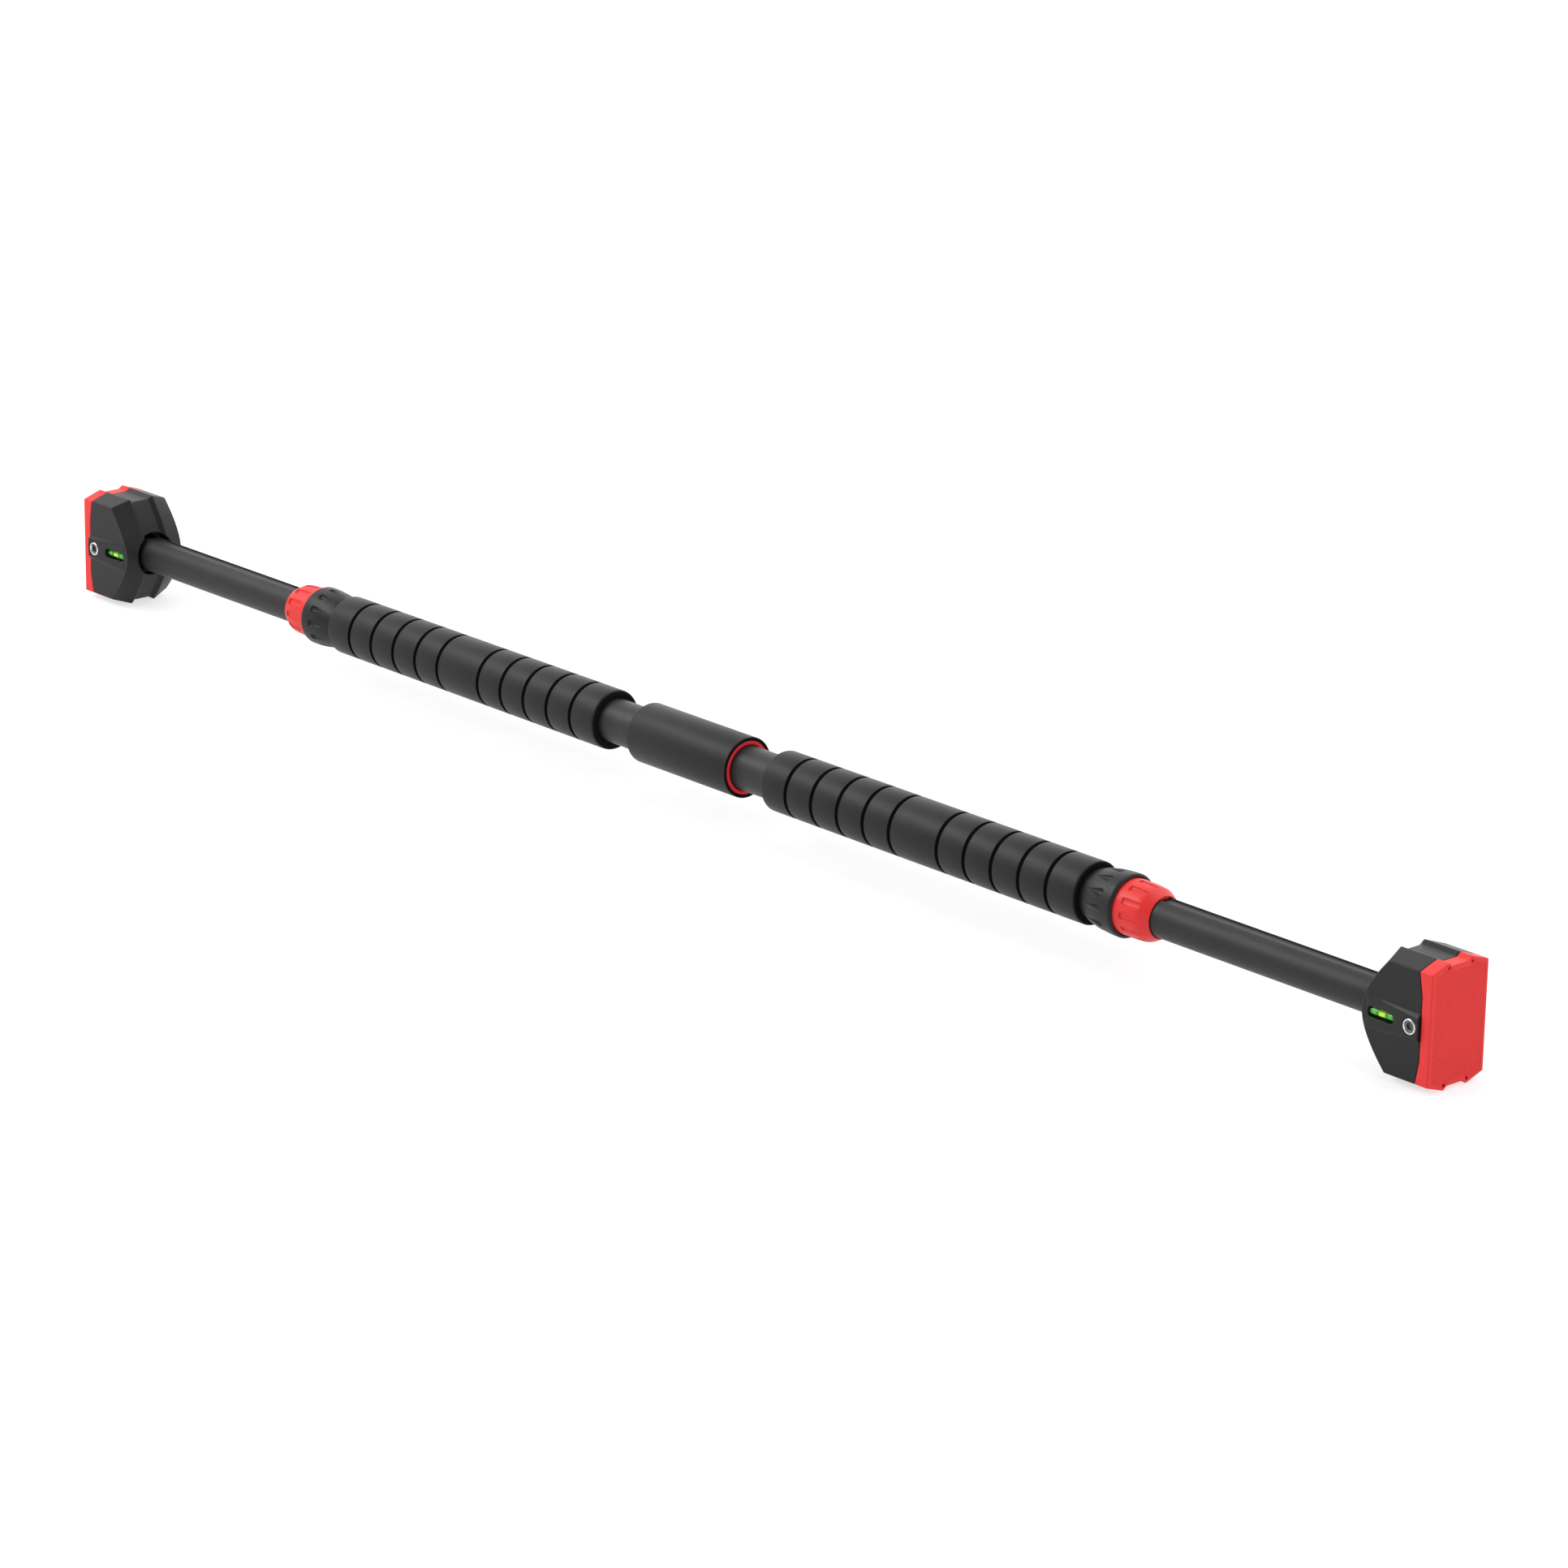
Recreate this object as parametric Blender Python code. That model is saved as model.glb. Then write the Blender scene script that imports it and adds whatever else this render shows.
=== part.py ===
"""Telescoping doorway pull-up bar, built along X with its middle at the origin.

Turning the main tube drives both ends out on two opposed screws.  Lengths are in metres.
"Reach" is a distance from the middle of the main tube, and "depth" is a distance from the
outer face of a pad towards the middle of the bar.
"""
import math

import bmesh
import bpy

MM = 0.001
GAP = 0.3 * MM                      # clearance between neighbouring pieces
OVERCUT = 1.3                       # how far past a piece its cutters reach, as a factor

# ---- driving dimensions ----
HALF_LENGTH = 704.9 * MM            # origin to the outer face of a pad
MAIN_SHIFT = -5.3 * MM              # the right end is wound out further than the left
SIDES = {"left": -1, "right": 1}
FACES = {"front": -1, "back": 1}

MAIN_RADIUS = 16.0 * MM
MAIN_WALL = 1.5 * MM
MAIN_HALF = 412.0 * MM

GRIP_RADIUS = 21.8 * MM
GRIP_START = 89.0 * MM
GRIP_END = 395.2 * MM
GRIP_ROUND = 3.0 * MM
ROUND_STEP = 0.3                    # share of a rounding at its one middle point
SLEEVE_HALF = 52.2 * MM
SLEEVE_SPLIT = 19.5 * MM            # radius where the red core ends and the black skin starts
SLEEVE_ROUND = 2.0 * MM

COLLAR_START = 380.0 * MM
COLLAR_SPIGOT = 17.3 * MM           # radius of the collar where the grip covers it
COLLAR_END = 428.6 * MM
COLLAR_RADIUS = 21.9 * MM
COLLAR_WAIST = 408.0 * MM
COLLAR_WAIST_RADIUS = 20.4 * MM
COLLAR_ROUND = 2.4 * MM
COLLAR_CAVITY = 19.9 * MM
MOUTH_RADIUS = 19.7 * MM

TEETH = 12
PITCH = 360.0 / TEETH
COLLAR_TOOTH = (0.25, 12.75)        # degrees within one pitch
RING_TOOTH = (15.5, 27.5)
TOOTH_FLANK = 0.625                 # degrees
COLLAR_TOOTH_TIP = 17.4 * MM
COLLAR_TEETH = (414.8 * MM, 419.3 * MM)

RING_START = 420.3 * MM
RING_TEETH_END = 424.8 * MM
RING_STEP = 426.5 * MM
RING_END = 457.0 * MM
RING_RADIUS = 19.2 * MM
RING_ROOT = 17.0 * MM
RING_BORE = 15.5 * MM
RING_SHOULDER = 18.3 * MM
RING_TIP = 14.6 * MM
RING_NOSE = 6.5 * MM                # length of the cone at the outer end

TUBE_RADIUS = 13.55 * MM
TUBE_WALL = 1.5 * MM
TUBE_DEPTH = 11.4 * MM              # depth of the outer end of the inner tube
TUBE_LENGTH = 467.0 * MM
SLOT_ANGLE = 18.0                   # half angle of the keyway, degrees
SLOT_FLOOR = 11.7 * MM
RUNNING_RADIUS = TUBE_RADIUS + 0.35 * MM
KEY_RADIUS = 12.5 * MM
KEY_ANGLE = 15.0

BUSH_START = 412.6 * MM
BUSH_FLANGE = 1.9 * MM
BUSH_END = 420.5 * MM
BUSH_RADIUS = 15.2 * MM
BUSH_FLANGE_RADIUS = 18.6 * MM

SPINDLE_RADIUS = 7.0 * MM
SPINDLE_START = 22.0 * MM
SPINDLE_END = 322.0 * MM
ANCHOR = (24.0 * MM, 48.0 * MM)
STOP = (312.0 * MM, 319.0 * MM)
STOP_RADIUS = 9.5 * MM
PIN_RADIUS = 2.5 * MM
PIN_HALF = 15.7 * MM
RIVET_RADIUS = 1.5 * MM
RIVET_REACH = 388.0 * MM

NUT_FLANGE = 5.0 * MM
NUT_LENGTH = 30.0 * MM
PLUG_LENGTH = 30.0 * MM

HEAD_HALF_WIDTH = 25.6 * MM         # front and back faces
EAVE = 36.7 * MM                    # height of the head at those faces
RIDGE = 41.7 * MM                   # height at the two teeth
RIDGE_Y = 10.5 * MM
CHANNEL_Y = 7.2 * MM
CHANNEL_DEPTH = 2.3 * MM
HEAD_TOP_DEPTH = 36.3 * MM          # depth of the head along its top edge
HEAD_PEAK_DEPTH = 57.0 * MM         # depth at mid height
HEAD_BEND = 14.7 * MM               # height where the slope and the peak's tangent cross
PLAN_SLANT = 4.2 * MM               # extra depth at the teeth
HEAD_STEPS = 5                      # facets from the top edge to the peak
PAD_DEPTH = 7.7 * MM
PAD_EDGE_DEPTH = 10.6 * MM
PAD_FLAT = 21.0 * MM                # half height where the pad has its least thickness

COUNTERBORE_RADIUS = 16.3 * MM
COUNTERBORE_DEPTH = 47.0 * MM       # depth of the counterbore's floor
BORE_RADIUS = 13.9 * MM
POCKET_Y = 20.0 * MM
POCKET_Z = (19.0 * MM, 32.0 * MM)
POCKET_DEPTH = 31.0 * MM
PLATE_Y = 20.0 * MM
PLATE_Z = 16.0 * MM
PLATE = (8.3 * MM, 10.9 * MM)

BAND_RISE = 2.6 * MM                # raised band on the front and back of a head
BAND_INNER_DEPTH = 52.5 * MM
BAND_HEIGHTS = (10.8 * MM, 9.6 * MM, 6.6 * MM)   # inner end, outer base, outer crest
BAND_ROOT = 2.0 * MM                # how far the band's body reaches into the head
BAND_LOW = 0.2 * MM                 # rise at the inner end
BAND_BEVEL = (0.5 * MM, 1.0 * MM)   # run of the bevel at the outer and the inner end
BOLT_DEPTH = 15.4 * MM
BOLT_HEAD_RADIUS = 5.3 * MM
BOLT_HEAD_HEIGHT = 3.4 * MM
BOLT_RADIUS = 3.0 * MM
BOLT_NUT_RADIUS = 4.2 * MM
BOLT_NUT_START = 7.0 * MM
SOCKET_RADIUS = 3.0 * MM
SOCKET_DEPTH = 2.0 * MM
BOLT_FACE = HEAD_HALF_WIDTH + 2.5 * MM

VIAL_DEPTH = 40.5 * MM
VIAL_HALF = 9.0 * MM
VIAL_RADIUS = 3.0 * MM
VIAL_BORE = 2.4 * MM
VIAL_Y = -22.6 * MM
WINDOW_HALF = 11.2 * MM
WINDOW_RADIUS = 3.5 * MM
WINDOW_STEPS = 6                    # facets of each round end
VIAL_CAP = 2.5 * MM                 # length of the cap in the open end
VIAL_DOME = 0.6                     # share of the radius left at the domed end

PEG_RADIUS = 0.9 * MM
PEG_Y = RIDGE_Y
PEG_Z = 38.4 * MM
PEG_PLACES = {"top_front": (-PEG_Y, PEG_Z), "top_back": (PEG_Y, PEG_Z),
              "bottom_front": (-PEG_Y, -PEG_Z), "bottom_back": (PEG_Y, -PEG_Z)}
PEG = (0.9 * MM, 20.0 * MM)

FINE = 36                           # sides of a round piece that shows or fits closely
COARSE = 24
BOLT_SIDES = 18
SMALL = 12
PEG_SIDES = 8
SHARP_ANGLE = math.radians(35)
FLAT_ANGLE = math.radians(0.01)     # faces within this angle of each other are one face

FINISHES = {                        # base colour, roughness, metallic
    "foam": ((0.028, 0.029, 0.030), 0.90, 0.0),
    "core_foam": ((0.70, 0.035, 0.040), 0.75, 0.0),
    "painted_steel": ((0.060, 0.062, 0.066), 0.48, 0.3),
    "coated_steel": ((0.022, 0.023, 0.025), 0.50, 0.2),
    "black_plastic": ((0.030, 0.031, 0.033), 0.55, 0.0),
    "red_plastic": ((0.76, 0.045, 0.040), 0.45, 0.0),
    "red_rubber": ((0.76, 0.045, 0.040), 0.60, 0.0),
    "bright_steel": ((0.62, 0.62, 0.63), 0.25, 1.0),
    "dark_steel": ((0.16, 0.16, 0.17), 0.40, 0.9),
    "clear_plastic": ((0.80, 0.90, 0.80), 0.05, 0.0),
    "green_liquid": ((0.30, 0.75, 0.05), 0.10, 0.0),
    "white_plastic": ((0.55, 0.56, 0.56), 0.45, 0.0),
}


# ---- helpers ----
def clear_scene():
    for obj in list(bpy.data.objects):
        bpy.data.objects.remove(obj, do_unlink=True)


def finish_material(piece, finish):
    """A material of the piece's own, with the colour of its finish."""
    colour, roughness, metallic = FINISHES[finish]
    material = bpy.data.materials.new(piece + "_" + finish)
    material.use_nodes = True
    shader = material.node_tree.nodes["Principled BSDF"]
    shader.inputs["Base Color"].default_value = (*colour, 1.0)
    shader.inputs["Roughness"].default_value = roughness
    shader.inputs["Metallic"].default_value = metallic
    return material


def add_empty(name, x, parent=None):
    empty = bpy.data.objects.new(name, None)
    bpy.context.collection.objects.link(empty)
    empty.parent = parent
    empty.location.x = x
    return empty


def add_object(name, bm, parent, finish=None):
    """Turn a bmesh into an object on its parent; without a finish it is a hidden cutter."""
    bmesh.ops.recalc_face_normals(bm, faces=bm.faces)
    mesh = bpy.data.meshes.new(name)
    bm.to_mesh(mesh)
    bm.free()
    obj = bpy.data.objects.new(name, mesh)
    bpy.context.collection.objects.link(obj)
    obj.parent = parent
    if finish is None:
        obj.hide_render = True
        obj.display_type = "WIRE"
        return obj
    mesh.materials.append(finish_material(name, finish))
    mesh.shade_smooth()
    mesh.set_sharp_from_angle(angle=SHARP_ANGLE)
    return obj


def boolean(obj, tool, operation="DIFFERENCE"):
    modifier = obj.modifiers.new(operation.title() + "_" + tool.name, "BOOLEAN")
    modifier.operation = operation
    modifier.solver = "EXACT"
    modifier.object = tool


def join_rings(bm, rings, closed):
    """Quads between neighbouring rings; a closed set runs back to the first ring."""
    pairs = list(zip(rings, rings[1:]))
    if closed:
        pairs.append((rings[-1], rings[0]))
    else:
        bm.faces.new(rings[0])
        bm.faces.new(rings[-1])
    for first, second in pairs:
        count = len(first)
        for i in range(count):
            j = (i + 1) % count
            bm.faces.new((first[i], first[j], second[j], second[i]))


def even_angles(count):
    return [360.0 * i / count for i in range(count)]


def turned(stations, angles, direction, closed=True):
    """Body of revolution about X; a station's radius may depend on the angle from +Z."""
    bm = bmesh.new()
    rings = []
    for x, radius in stations:
        ring = []
        for angle in angles:
            r = radius(angle) if callable(radius) else radius
            turn = math.radians(angle)
            ring.append(bm.verts.new((direction * x, r * math.sin(turn), r * math.cos(turn))))
        rings.append(ring)
    join_rings(bm, rings, closed)
    return bm


def tube(inner, outer, start, end, direction, count=COARSE):
    stations = [(start, outer), (end, outer), (end, inner), (start, inner)]
    return turned(stations, even_angles(count), direction)


def prism(loops, start, end, direction):
    """Extrusion along X of one YZ loop, or of the wall between two loops of equal count."""
    bm = bmesh.new()
    ends = [[[bm.verts.new((direction * x, y, z)) for y, z in loop] for x in (start, end)]
            for loop in loops]
    if len(loops) == 1:
        join_rings(bm, ends[0], closed=False)
    else:
        outer, inner = ends
        join_rings(bm, [outer[0], outer[1], inner[1], inner[0]], closed=True)
    return bm


def rod(centre, axis, radius, start, end, count=COARSE, angle=0.0):
    """Solid cylinder from start to end along Y or Z through a centre point."""
    bm = bmesh.new()
    rings = []
    for place in (start, end):
        ring = []
        for i in range(count):
            turn = 2 * math.pi * i / count + angle
            u = radius * math.cos(turn)
            v = radius * math.sin(turn)
            offset = (u, place, v) if axis == "Y" else (u, v, place)
            ring.append(bm.verts.new([c + o for c, o in zip(centre, offset)]))
        rings.append(ring)
    join_rings(bm, rings, closed=False)
    return bm


def box(x_range, y_range, z_range):
    bm = bmesh.new()
    corners = [(y, z) for y, z in ((y_range[0], z_range[0]), (y_range[1], z_range[0]),
                                   (y_range[1], z_range[1]), (y_range[0], z_range[1]))]
    rings = [[bm.verts.new((x, y, z)) for y, z in corners] for x in x_range]
    join_rings(bm, rings, closed=False)
    return bm


def settle_faces(bm):
    """Make every face flat: triangles where the shape twists, one face where it is plane."""
    bm.normal_update()
    bmesh.ops.triangulate(bm, faces=bm.faces)
    bmesh.ops.dissolve_limit(bm, angle_limit=FLAT_ANGLE, verts=bm.verts, edges=bm.edges)


def merge(target, extra):
    """Add the bodies of one bmesh to another."""
    holder = bpy.data.meshes.new("merge")
    extra.to_mesh(holder)
    extra.free()
    target.from_mesh(holder)
    bpy.data.meshes.remove(holder)
    return target


# ---- sections of the inner tube and of what slides or sits in it ----
def slotted_loop():
    """Outer outline of the inner tube: a circle with a flat-bottomed keyway at the top."""
    half_width = TUBE_RADIUS * math.sin(math.radians(SLOT_ANGLE))
    arc = [(TUBE_RADIUS * math.sin(a), TUBE_RADIUS * math.cos(a)) for a in arc_turns(SLOT_ANGLE)]
    return [(half_width, SLOT_FLOOR)] + arc + [(-half_width, SLOT_FLOOR)]


def flatted_loop(radius, flat):
    """A circle cut by a flat at the top, with as many points as the slotted outline."""
    start = math.degrees(math.acos(flat / radius))
    half_width = TUBE_RADIUS * math.sin(math.radians(SLOT_ANGLE))
    arc = [(radius * math.sin(a), radius * math.cos(a)) for a in arc_turns(start)]
    return [(half_width, flat)] + arc + [(-half_width, flat)]


def round_loop(radius):
    """A full circle with as many points as the slotted outline."""
    count = FINE + 2
    turns = [2 * math.pi * (i + 0.5) / count for i in range(count)]
    return [(radius * math.sin(a), radius * math.cos(a)) for a in turns]


def arc_turns(start):
    step = (360.0 - 2 * start) / (FINE - 1)
    return [math.radians(start + step * i) for i in range(FINE)]


# ---- pieces of the main tube ----
def make_main_tube(parent):
    inner = MAIN_RADIUS - MAIN_WALL
    bm = tube(inner, MAIN_RADIUS, -MAIN_HALF, MAIN_HALF, 1, FINE)
    obj = add_object("main_tube", bm, parent, "painted_steel")
    boolean(obj, pin_cutter(parent))
    boolean(obj, rivet_cutter(parent))


def pin_body(side, radius, half):
    return rod((side * (ANCHOR[0] + ANCHOR[1]) / 2, 0, 0), "Z", radius, -half, half, SMALL)


def pin_cutter(parent):
    bm = bmesh.new()
    for side in SIDES.values():
        merge(bm, pin_body(side, PIN_RADIUS + GAP, MAIN_RADIUS * OVERCUT))
    return add_object("cut_pins", bm, parent)


def rivet_body(side, way, radius, inner, outer):
    low, high = sorted((way * inner, way * outer))
    return rod((side * RIVET_REACH, 0, 0), "Y", radius, low, high, SMALL)


def rivet_cutter(parent):
    bm = bmesh.new()
    reach = MAIN_RADIUS * OVERCUT
    for side in SIDES.values():
        merge(bm, rivet_body(side, 1, RIVET_RADIUS + GAP, -reach, reach))
    return add_object("cut_rivets", bm, parent)


def make_grip(name, side, parent):
    bore = MAIN_RADIUS + GAP
    wide = COLLAR_SPIGOT + GAP
    shelf = COLLAR_START - GAP
    middle = GRIP_ROUND * ROUND_STEP
    edge = GRIP_ROUND / 2
    stations = [(GRIP_START, GRIP_RADIUS - GRIP_ROUND), (GRIP_START + middle, GRIP_RADIUS - middle),
                (GRIP_START + GRIP_ROUND, GRIP_RADIUS), (GRIP_END - edge, GRIP_RADIUS),
                (GRIP_END, GRIP_RADIUS - edge), (GRIP_END, wide), (shelf, wide), (shelf, bore),
                (GRIP_START, bore)]
    bm = turned(stations, even_angles(COARSE), side)
    add_object("grip_" + name, bm, parent, "foam")


def make_sleeve(parent):
    edge = SLEEVE_HALF - SLEEVE_ROUND
    crown = GRIP_RADIUS - SLEEVE_ROUND
    skin = [(-SLEEVE_HALF, crown), (-edge, GRIP_RADIUS), (edge, GRIP_RADIUS), (SLEEVE_HALF, crown),
            (SLEEVE_HALF, SLEEVE_SPLIT), (-SLEEVE_HALF, SLEEVE_SPLIT)]
    add_object("sleeve_skin", turned(skin, even_angles(COARSE), 1), parent, "foam")
    core = tube(MAIN_RADIUS + GAP, SLEEVE_SPLIT - GAP, -SLEEVE_HALF, SLEEVE_HALF, 1)
    add_object("sleeve_core", core, parent, "core_foam")


def toothed(tooth, tip, root):
    """Radius that is at the tip within the tooth's angles and at the root elsewhere."""
    return lambda angle: tip if tooth[0] <= angle % PITCH <= tooth[1] else root


def tooth_angles(tooth):
    """Angles of the corners of every tooth, just before and just after each flank."""
    offsets = [tooth[0] - TOOTH_FLANK, tooth[0], tooth[1], tooth[1] + TOOTH_FLANK]
    return [PITCH * i + offset for i in range(TEETH) for offset in offsets]


def make_collar(name, side, parent):
    teeth = toothed(COLLAR_TOOTH, COLLAR_TOOTH_TIP, MOUTH_RADIUS)
    bore = MAIN_RADIUS + GAP
    stop = MAIN_HALF + GAP
    outside = [(COLLAR_START, COLLAR_SPIGOT), (GRIP_END + MM, COLLAR_SPIGOT),
               (COLLAR_WAIST, COLLAR_WAIST_RADIUS), (COLLAR_END - COLLAR_ROUND, COLLAR_RADIUS),
               (COLLAR_END, COLLAR_RADIUS - COLLAR_ROUND / 2)]
    inside = [(COLLAR_END, MOUTH_RADIUS), (COLLAR_TEETH[1], MOUTH_RADIUS),
              (COLLAR_TEETH[1] - GAP, teeth), (COLLAR_TEETH[0], teeth),
              (COLLAR_TEETH[0], COLLAR_CAVITY), (stop, COLLAR_CAVITY), (stop, bore),
              (COLLAR_START, bore)]
    bm = turned(outside + inside, tooth_angles(COLLAR_TOOTH), side)
    obj = add_object("collar_" + name, bm, parent, "black_plastic")
    boolean(obj, bpy.data.objects["cut_rivets"])
    inner = MAIN_RADIUS - MAIN_WALL + GAP
    for label, way in FACES.items():
        rivet = rivet_body(side, way, RIVET_RADIUS, inner, COLLAR_SPIGOT)
        add_object("collar_rivet_" + label + "_" + name, rivet, parent, "dark_steel")


def make_spindle(name, side, parent):
    stations = [(SPINDLE_START, SPINDLE_RADIUS), (SPINDLE_END, SPINDLE_RADIUS)]
    bm = turned(stations, even_angles(SMALL), side, closed=False)
    spindle = add_object("spindle_" + name, bm, parent, "bright_steel")
    bore = SPINDLE_RADIUS + GAP
    bm = tube(bore, MAIN_RADIUS - MAIN_WALL - GAP, *ANCHOR, side)
    anchor = add_object("spindle_anchor_" + name, bm, parent, "dark_steel")
    for obj in (spindle, anchor):
        boolean(obj, bpy.data.objects["cut_pins"])
    add_object("spindle_stop_" + name, tube(bore, STOP_RADIUS, *STOP, side), parent, "dark_steel")


def make_main_body(parent):
    make_main_tube(parent)
    make_sleeve(parent)
    for name, side in SIDES.items():
        pin = pin_body(side, PIN_RADIUS, PIN_HALF)
        add_object("anchor_pin_" + name, pin, parent, "bright_steel")
        make_grip(name, side, parent)
        make_collar(name, side, parent)
        make_spindle(name, side, parent)


# ---- keyed pieces in the collar's mouth ----
def keyed(angle):
    """Bore radius of a piece whose key sits in the keyway of the inner tube."""
    turn = (angle + 180.0) % 360.0 - 180.0
    return KEY_RADIUS if abs(turn) <= KEY_ANGLE else RUNNING_RADIUS


def make_guide_bush(name, side, parent):
    first = KEY_ANGLE + TOOTH_FLANK
    step = (360.0 - 2 * first) / COARSE
    angles = [-KEY_ANGLE, KEY_ANGLE] + [first + step * i for i in range(COARSE + 1)]
    flange = BUSH_START + BUSH_FLANGE
    stations = [(BUSH_START, BUSH_FLANGE_RADIUS), (flange, BUSH_FLANGE_RADIUS),
                (flange, BUSH_RADIUS), (BUSH_END, BUSH_RADIUS), (BUSH_END, keyed),
                (BUSH_START, keyed)]
    add_object("guide_bush_" + name, turned(stations, angles, side), parent, "white_plastic")


def make_lock_ring(name, side, parent):
    teeth = toothed(RING_TOOTH, RING_RADIUS, RING_ROOT)
    stations = [(RING_START, teeth), (RING_TEETH_END, teeth), (RING_TEETH_END + GAP, RING_RADIUS),
                (RING_END - RING_NOSE, RING_SHOULDER), (RING_END, RING_TIP),
                (RING_END, keyed), (RING_STEP, keyed), (RING_STEP, RING_BORE),
                (RING_START, RING_BORE)]
    bm = turned(stations, tooth_angles(RING_TOOTH), side)
    add_object("lock_ring_" + name, bm, parent, "red_plastic")


# ---- pieces that slide with the inner tube ----
def make_inner_tube(name, side, parent):
    flat = SLOT_FLOOR - TUBE_WALL
    loops = [slotted_loop(), flatted_loop(TUBE_RADIUS - TUBE_WALL, flat)]
    inner_end = TUBE_DEPTH + TUBE_LENGTH
    bm = prism(loops, TUBE_DEPTH, inner_end, -side)
    obj = add_object("inner_tube_" + name, bm, parent, "coated_steel")
    bolt_holes(obj, name)
    fitted = flatted_loop(TUBE_RADIUS - TUBE_WALL - GAP, flat - GAP)
    bm = prism([fitted], TUBE_DEPTH, TUBE_DEPTH + PLUG_LENGTH, -side)
    plug = add_object("tube_plug_" + name, bm, parent, "black_plastic")
    bolt_holes(plug, name)
    thread = round_loop(SPINDLE_RADIUS + GAP)
    bm = prism([fitted, thread], inner_end - NUT_LENGTH, inner_end - GAP, -side)
    add_object("drive_nut_" + name, bm, parent, "bright_steel")
    bm = tube(SPINDLE_RADIUS + GAP, MAIN_RADIUS - MAIN_WALL - GAP, inner_end + GAP,
              inner_end + NUT_FLANGE, -side)
    add_object("slide_shoe_" + name, bm, parent, "white_plastic")


def bolt_cutter(name, side, parent):
    """Stepped hole through a head: the shank, the barrel nut and a seat for each head."""
    centre = (-side * BOLT_DEPTH, 0, 0)
    reach = HEAD_HALF_WIDTH * OVERCUT
    seat = BOLT_FACE - BOLT_HEAD_HEIGHT - GAP
    steps = [(-reach, BOLT_HEAD_RADIUS + GAP), (-seat, BOLT_HEAD_RADIUS + GAP),
             (-seat, BOLT_RADIUS + GAP), (BOLT_NUT_START - GAP, BOLT_RADIUS + GAP),
             (BOLT_NUT_START - GAP, BOLT_NUT_RADIUS + GAP), (seat, BOLT_NUT_RADIUS + GAP),
             (seat, BOLT_HEAD_RADIUS + GAP), (reach, BOLT_HEAD_RADIUS + GAP)]
    return add_object("cut_bolt_" + name, turned_y(centre, steps, BOLT_SIDES), parent)


def turned_y(centre, steps, count, closed=False):
    """Body of revolution about a line along Y through a centre point."""
    bm = bmesh.new()
    rings = []
    for y, radius in steps:
        turns = [2 * math.pi * i / count for i in range(count)]
        rings.append([bm.verts.new((centre[0] + radius * math.cos(t), y,
                                    centre[2] + radius * math.sin(t))) for t in turns])
    join_rings(bm, rings, closed)
    return bm


def bolt_holes(obj, name):
    boolean(obj, bpy.data.objects["cut_bolt_" + name])


def make_bolt(name, side, parent):
    centre = (-side * BOLT_DEPTH, 0, 0)
    under = BOLT_FACE - BOLT_HEAD_HEIGHT
    steps = [(-BOLT_FACE + SOCKET_DEPTH, SOCKET_RADIUS), (-BOLT_FACE, SOCKET_RADIUS),
             (-BOLT_FACE, BOLT_HEAD_RADIUS), (-under, BOLT_HEAD_RADIUS), (-under, BOLT_RADIUS),
             (under, BOLT_RADIUS)]
    add_object("cross_bolt_" + name, turned_y(centre, steps, BOLT_SIDES), parent, "bright_steel")
    bore = BOLT_RADIUS + GAP
    steps = [(BOLT_NUT_START, bore), (BOLT_NUT_START, BOLT_NUT_RADIUS), (under, BOLT_NUT_RADIUS),
             (under, BOLT_HEAD_RADIUS), (BOLT_FACE, BOLT_HEAD_RADIUS), (BOLT_FACE, bore)]
    bm = turned_y(centre, steps, BOLT_SIDES, closed=True)
    add_object("barrel_nut_" + name, bm, parent, "bright_steel")


# ---- heads ----
def head_outline(height, slant):
    """Half outline in depth and height, from the top of the pad joint to the peak."""
    start = (HEAD_TOP_DEPTH + slant, height)
    bend = (HEAD_PEAK_DEPTH + slant, HEAD_BEND)
    peak = (HEAD_PEAK_DEPTH + slant, 0.0)
    points = []
    for i in range(HEAD_STEPS + 1):
        t = i / HEAD_STEPS
        weights = ((1 - t) ** 2, 2 * t * (1 - t), t * t)
        points.append(tuple(sum(w * p[k] for w, p in zip(weights, (start, bend, peak)))
                            for k in range(2)))
    joint = [(PAD_DEPTH + GAP, PAD_FLAT), (PAD_EDGE_DEPTH + GAP, height)]
    return joint + points


def head_sections():
    """Stations across the width: Y, height and extra depth."""
    half = [(HEAD_HALF_WIDTH, EAVE, 0.0), (RIDGE_Y, RIDGE, PLAN_SLANT),
            (CHANNEL_Y, RIDGE - CHANNEL_DEPTH, PLAN_SLANT - CHANNEL_DEPTH)]
    return [(-y, height, slant) for y, height, slant in half] + half[::-1]


def head_body(side):
    bm = bmesh.new()
    rings = []
    for y, height, slant in head_sections():
        upper = head_outline(height, slant)
        lower = [(depth, -z) for depth, z in upper[-2::-1]]
        rings.append([bm.verts.new((-side * depth, y, z)) for depth, z in upper + lower])
    join_rings(bm, rings, closed=False)
    settle_faces(bm)
    return bm


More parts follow.
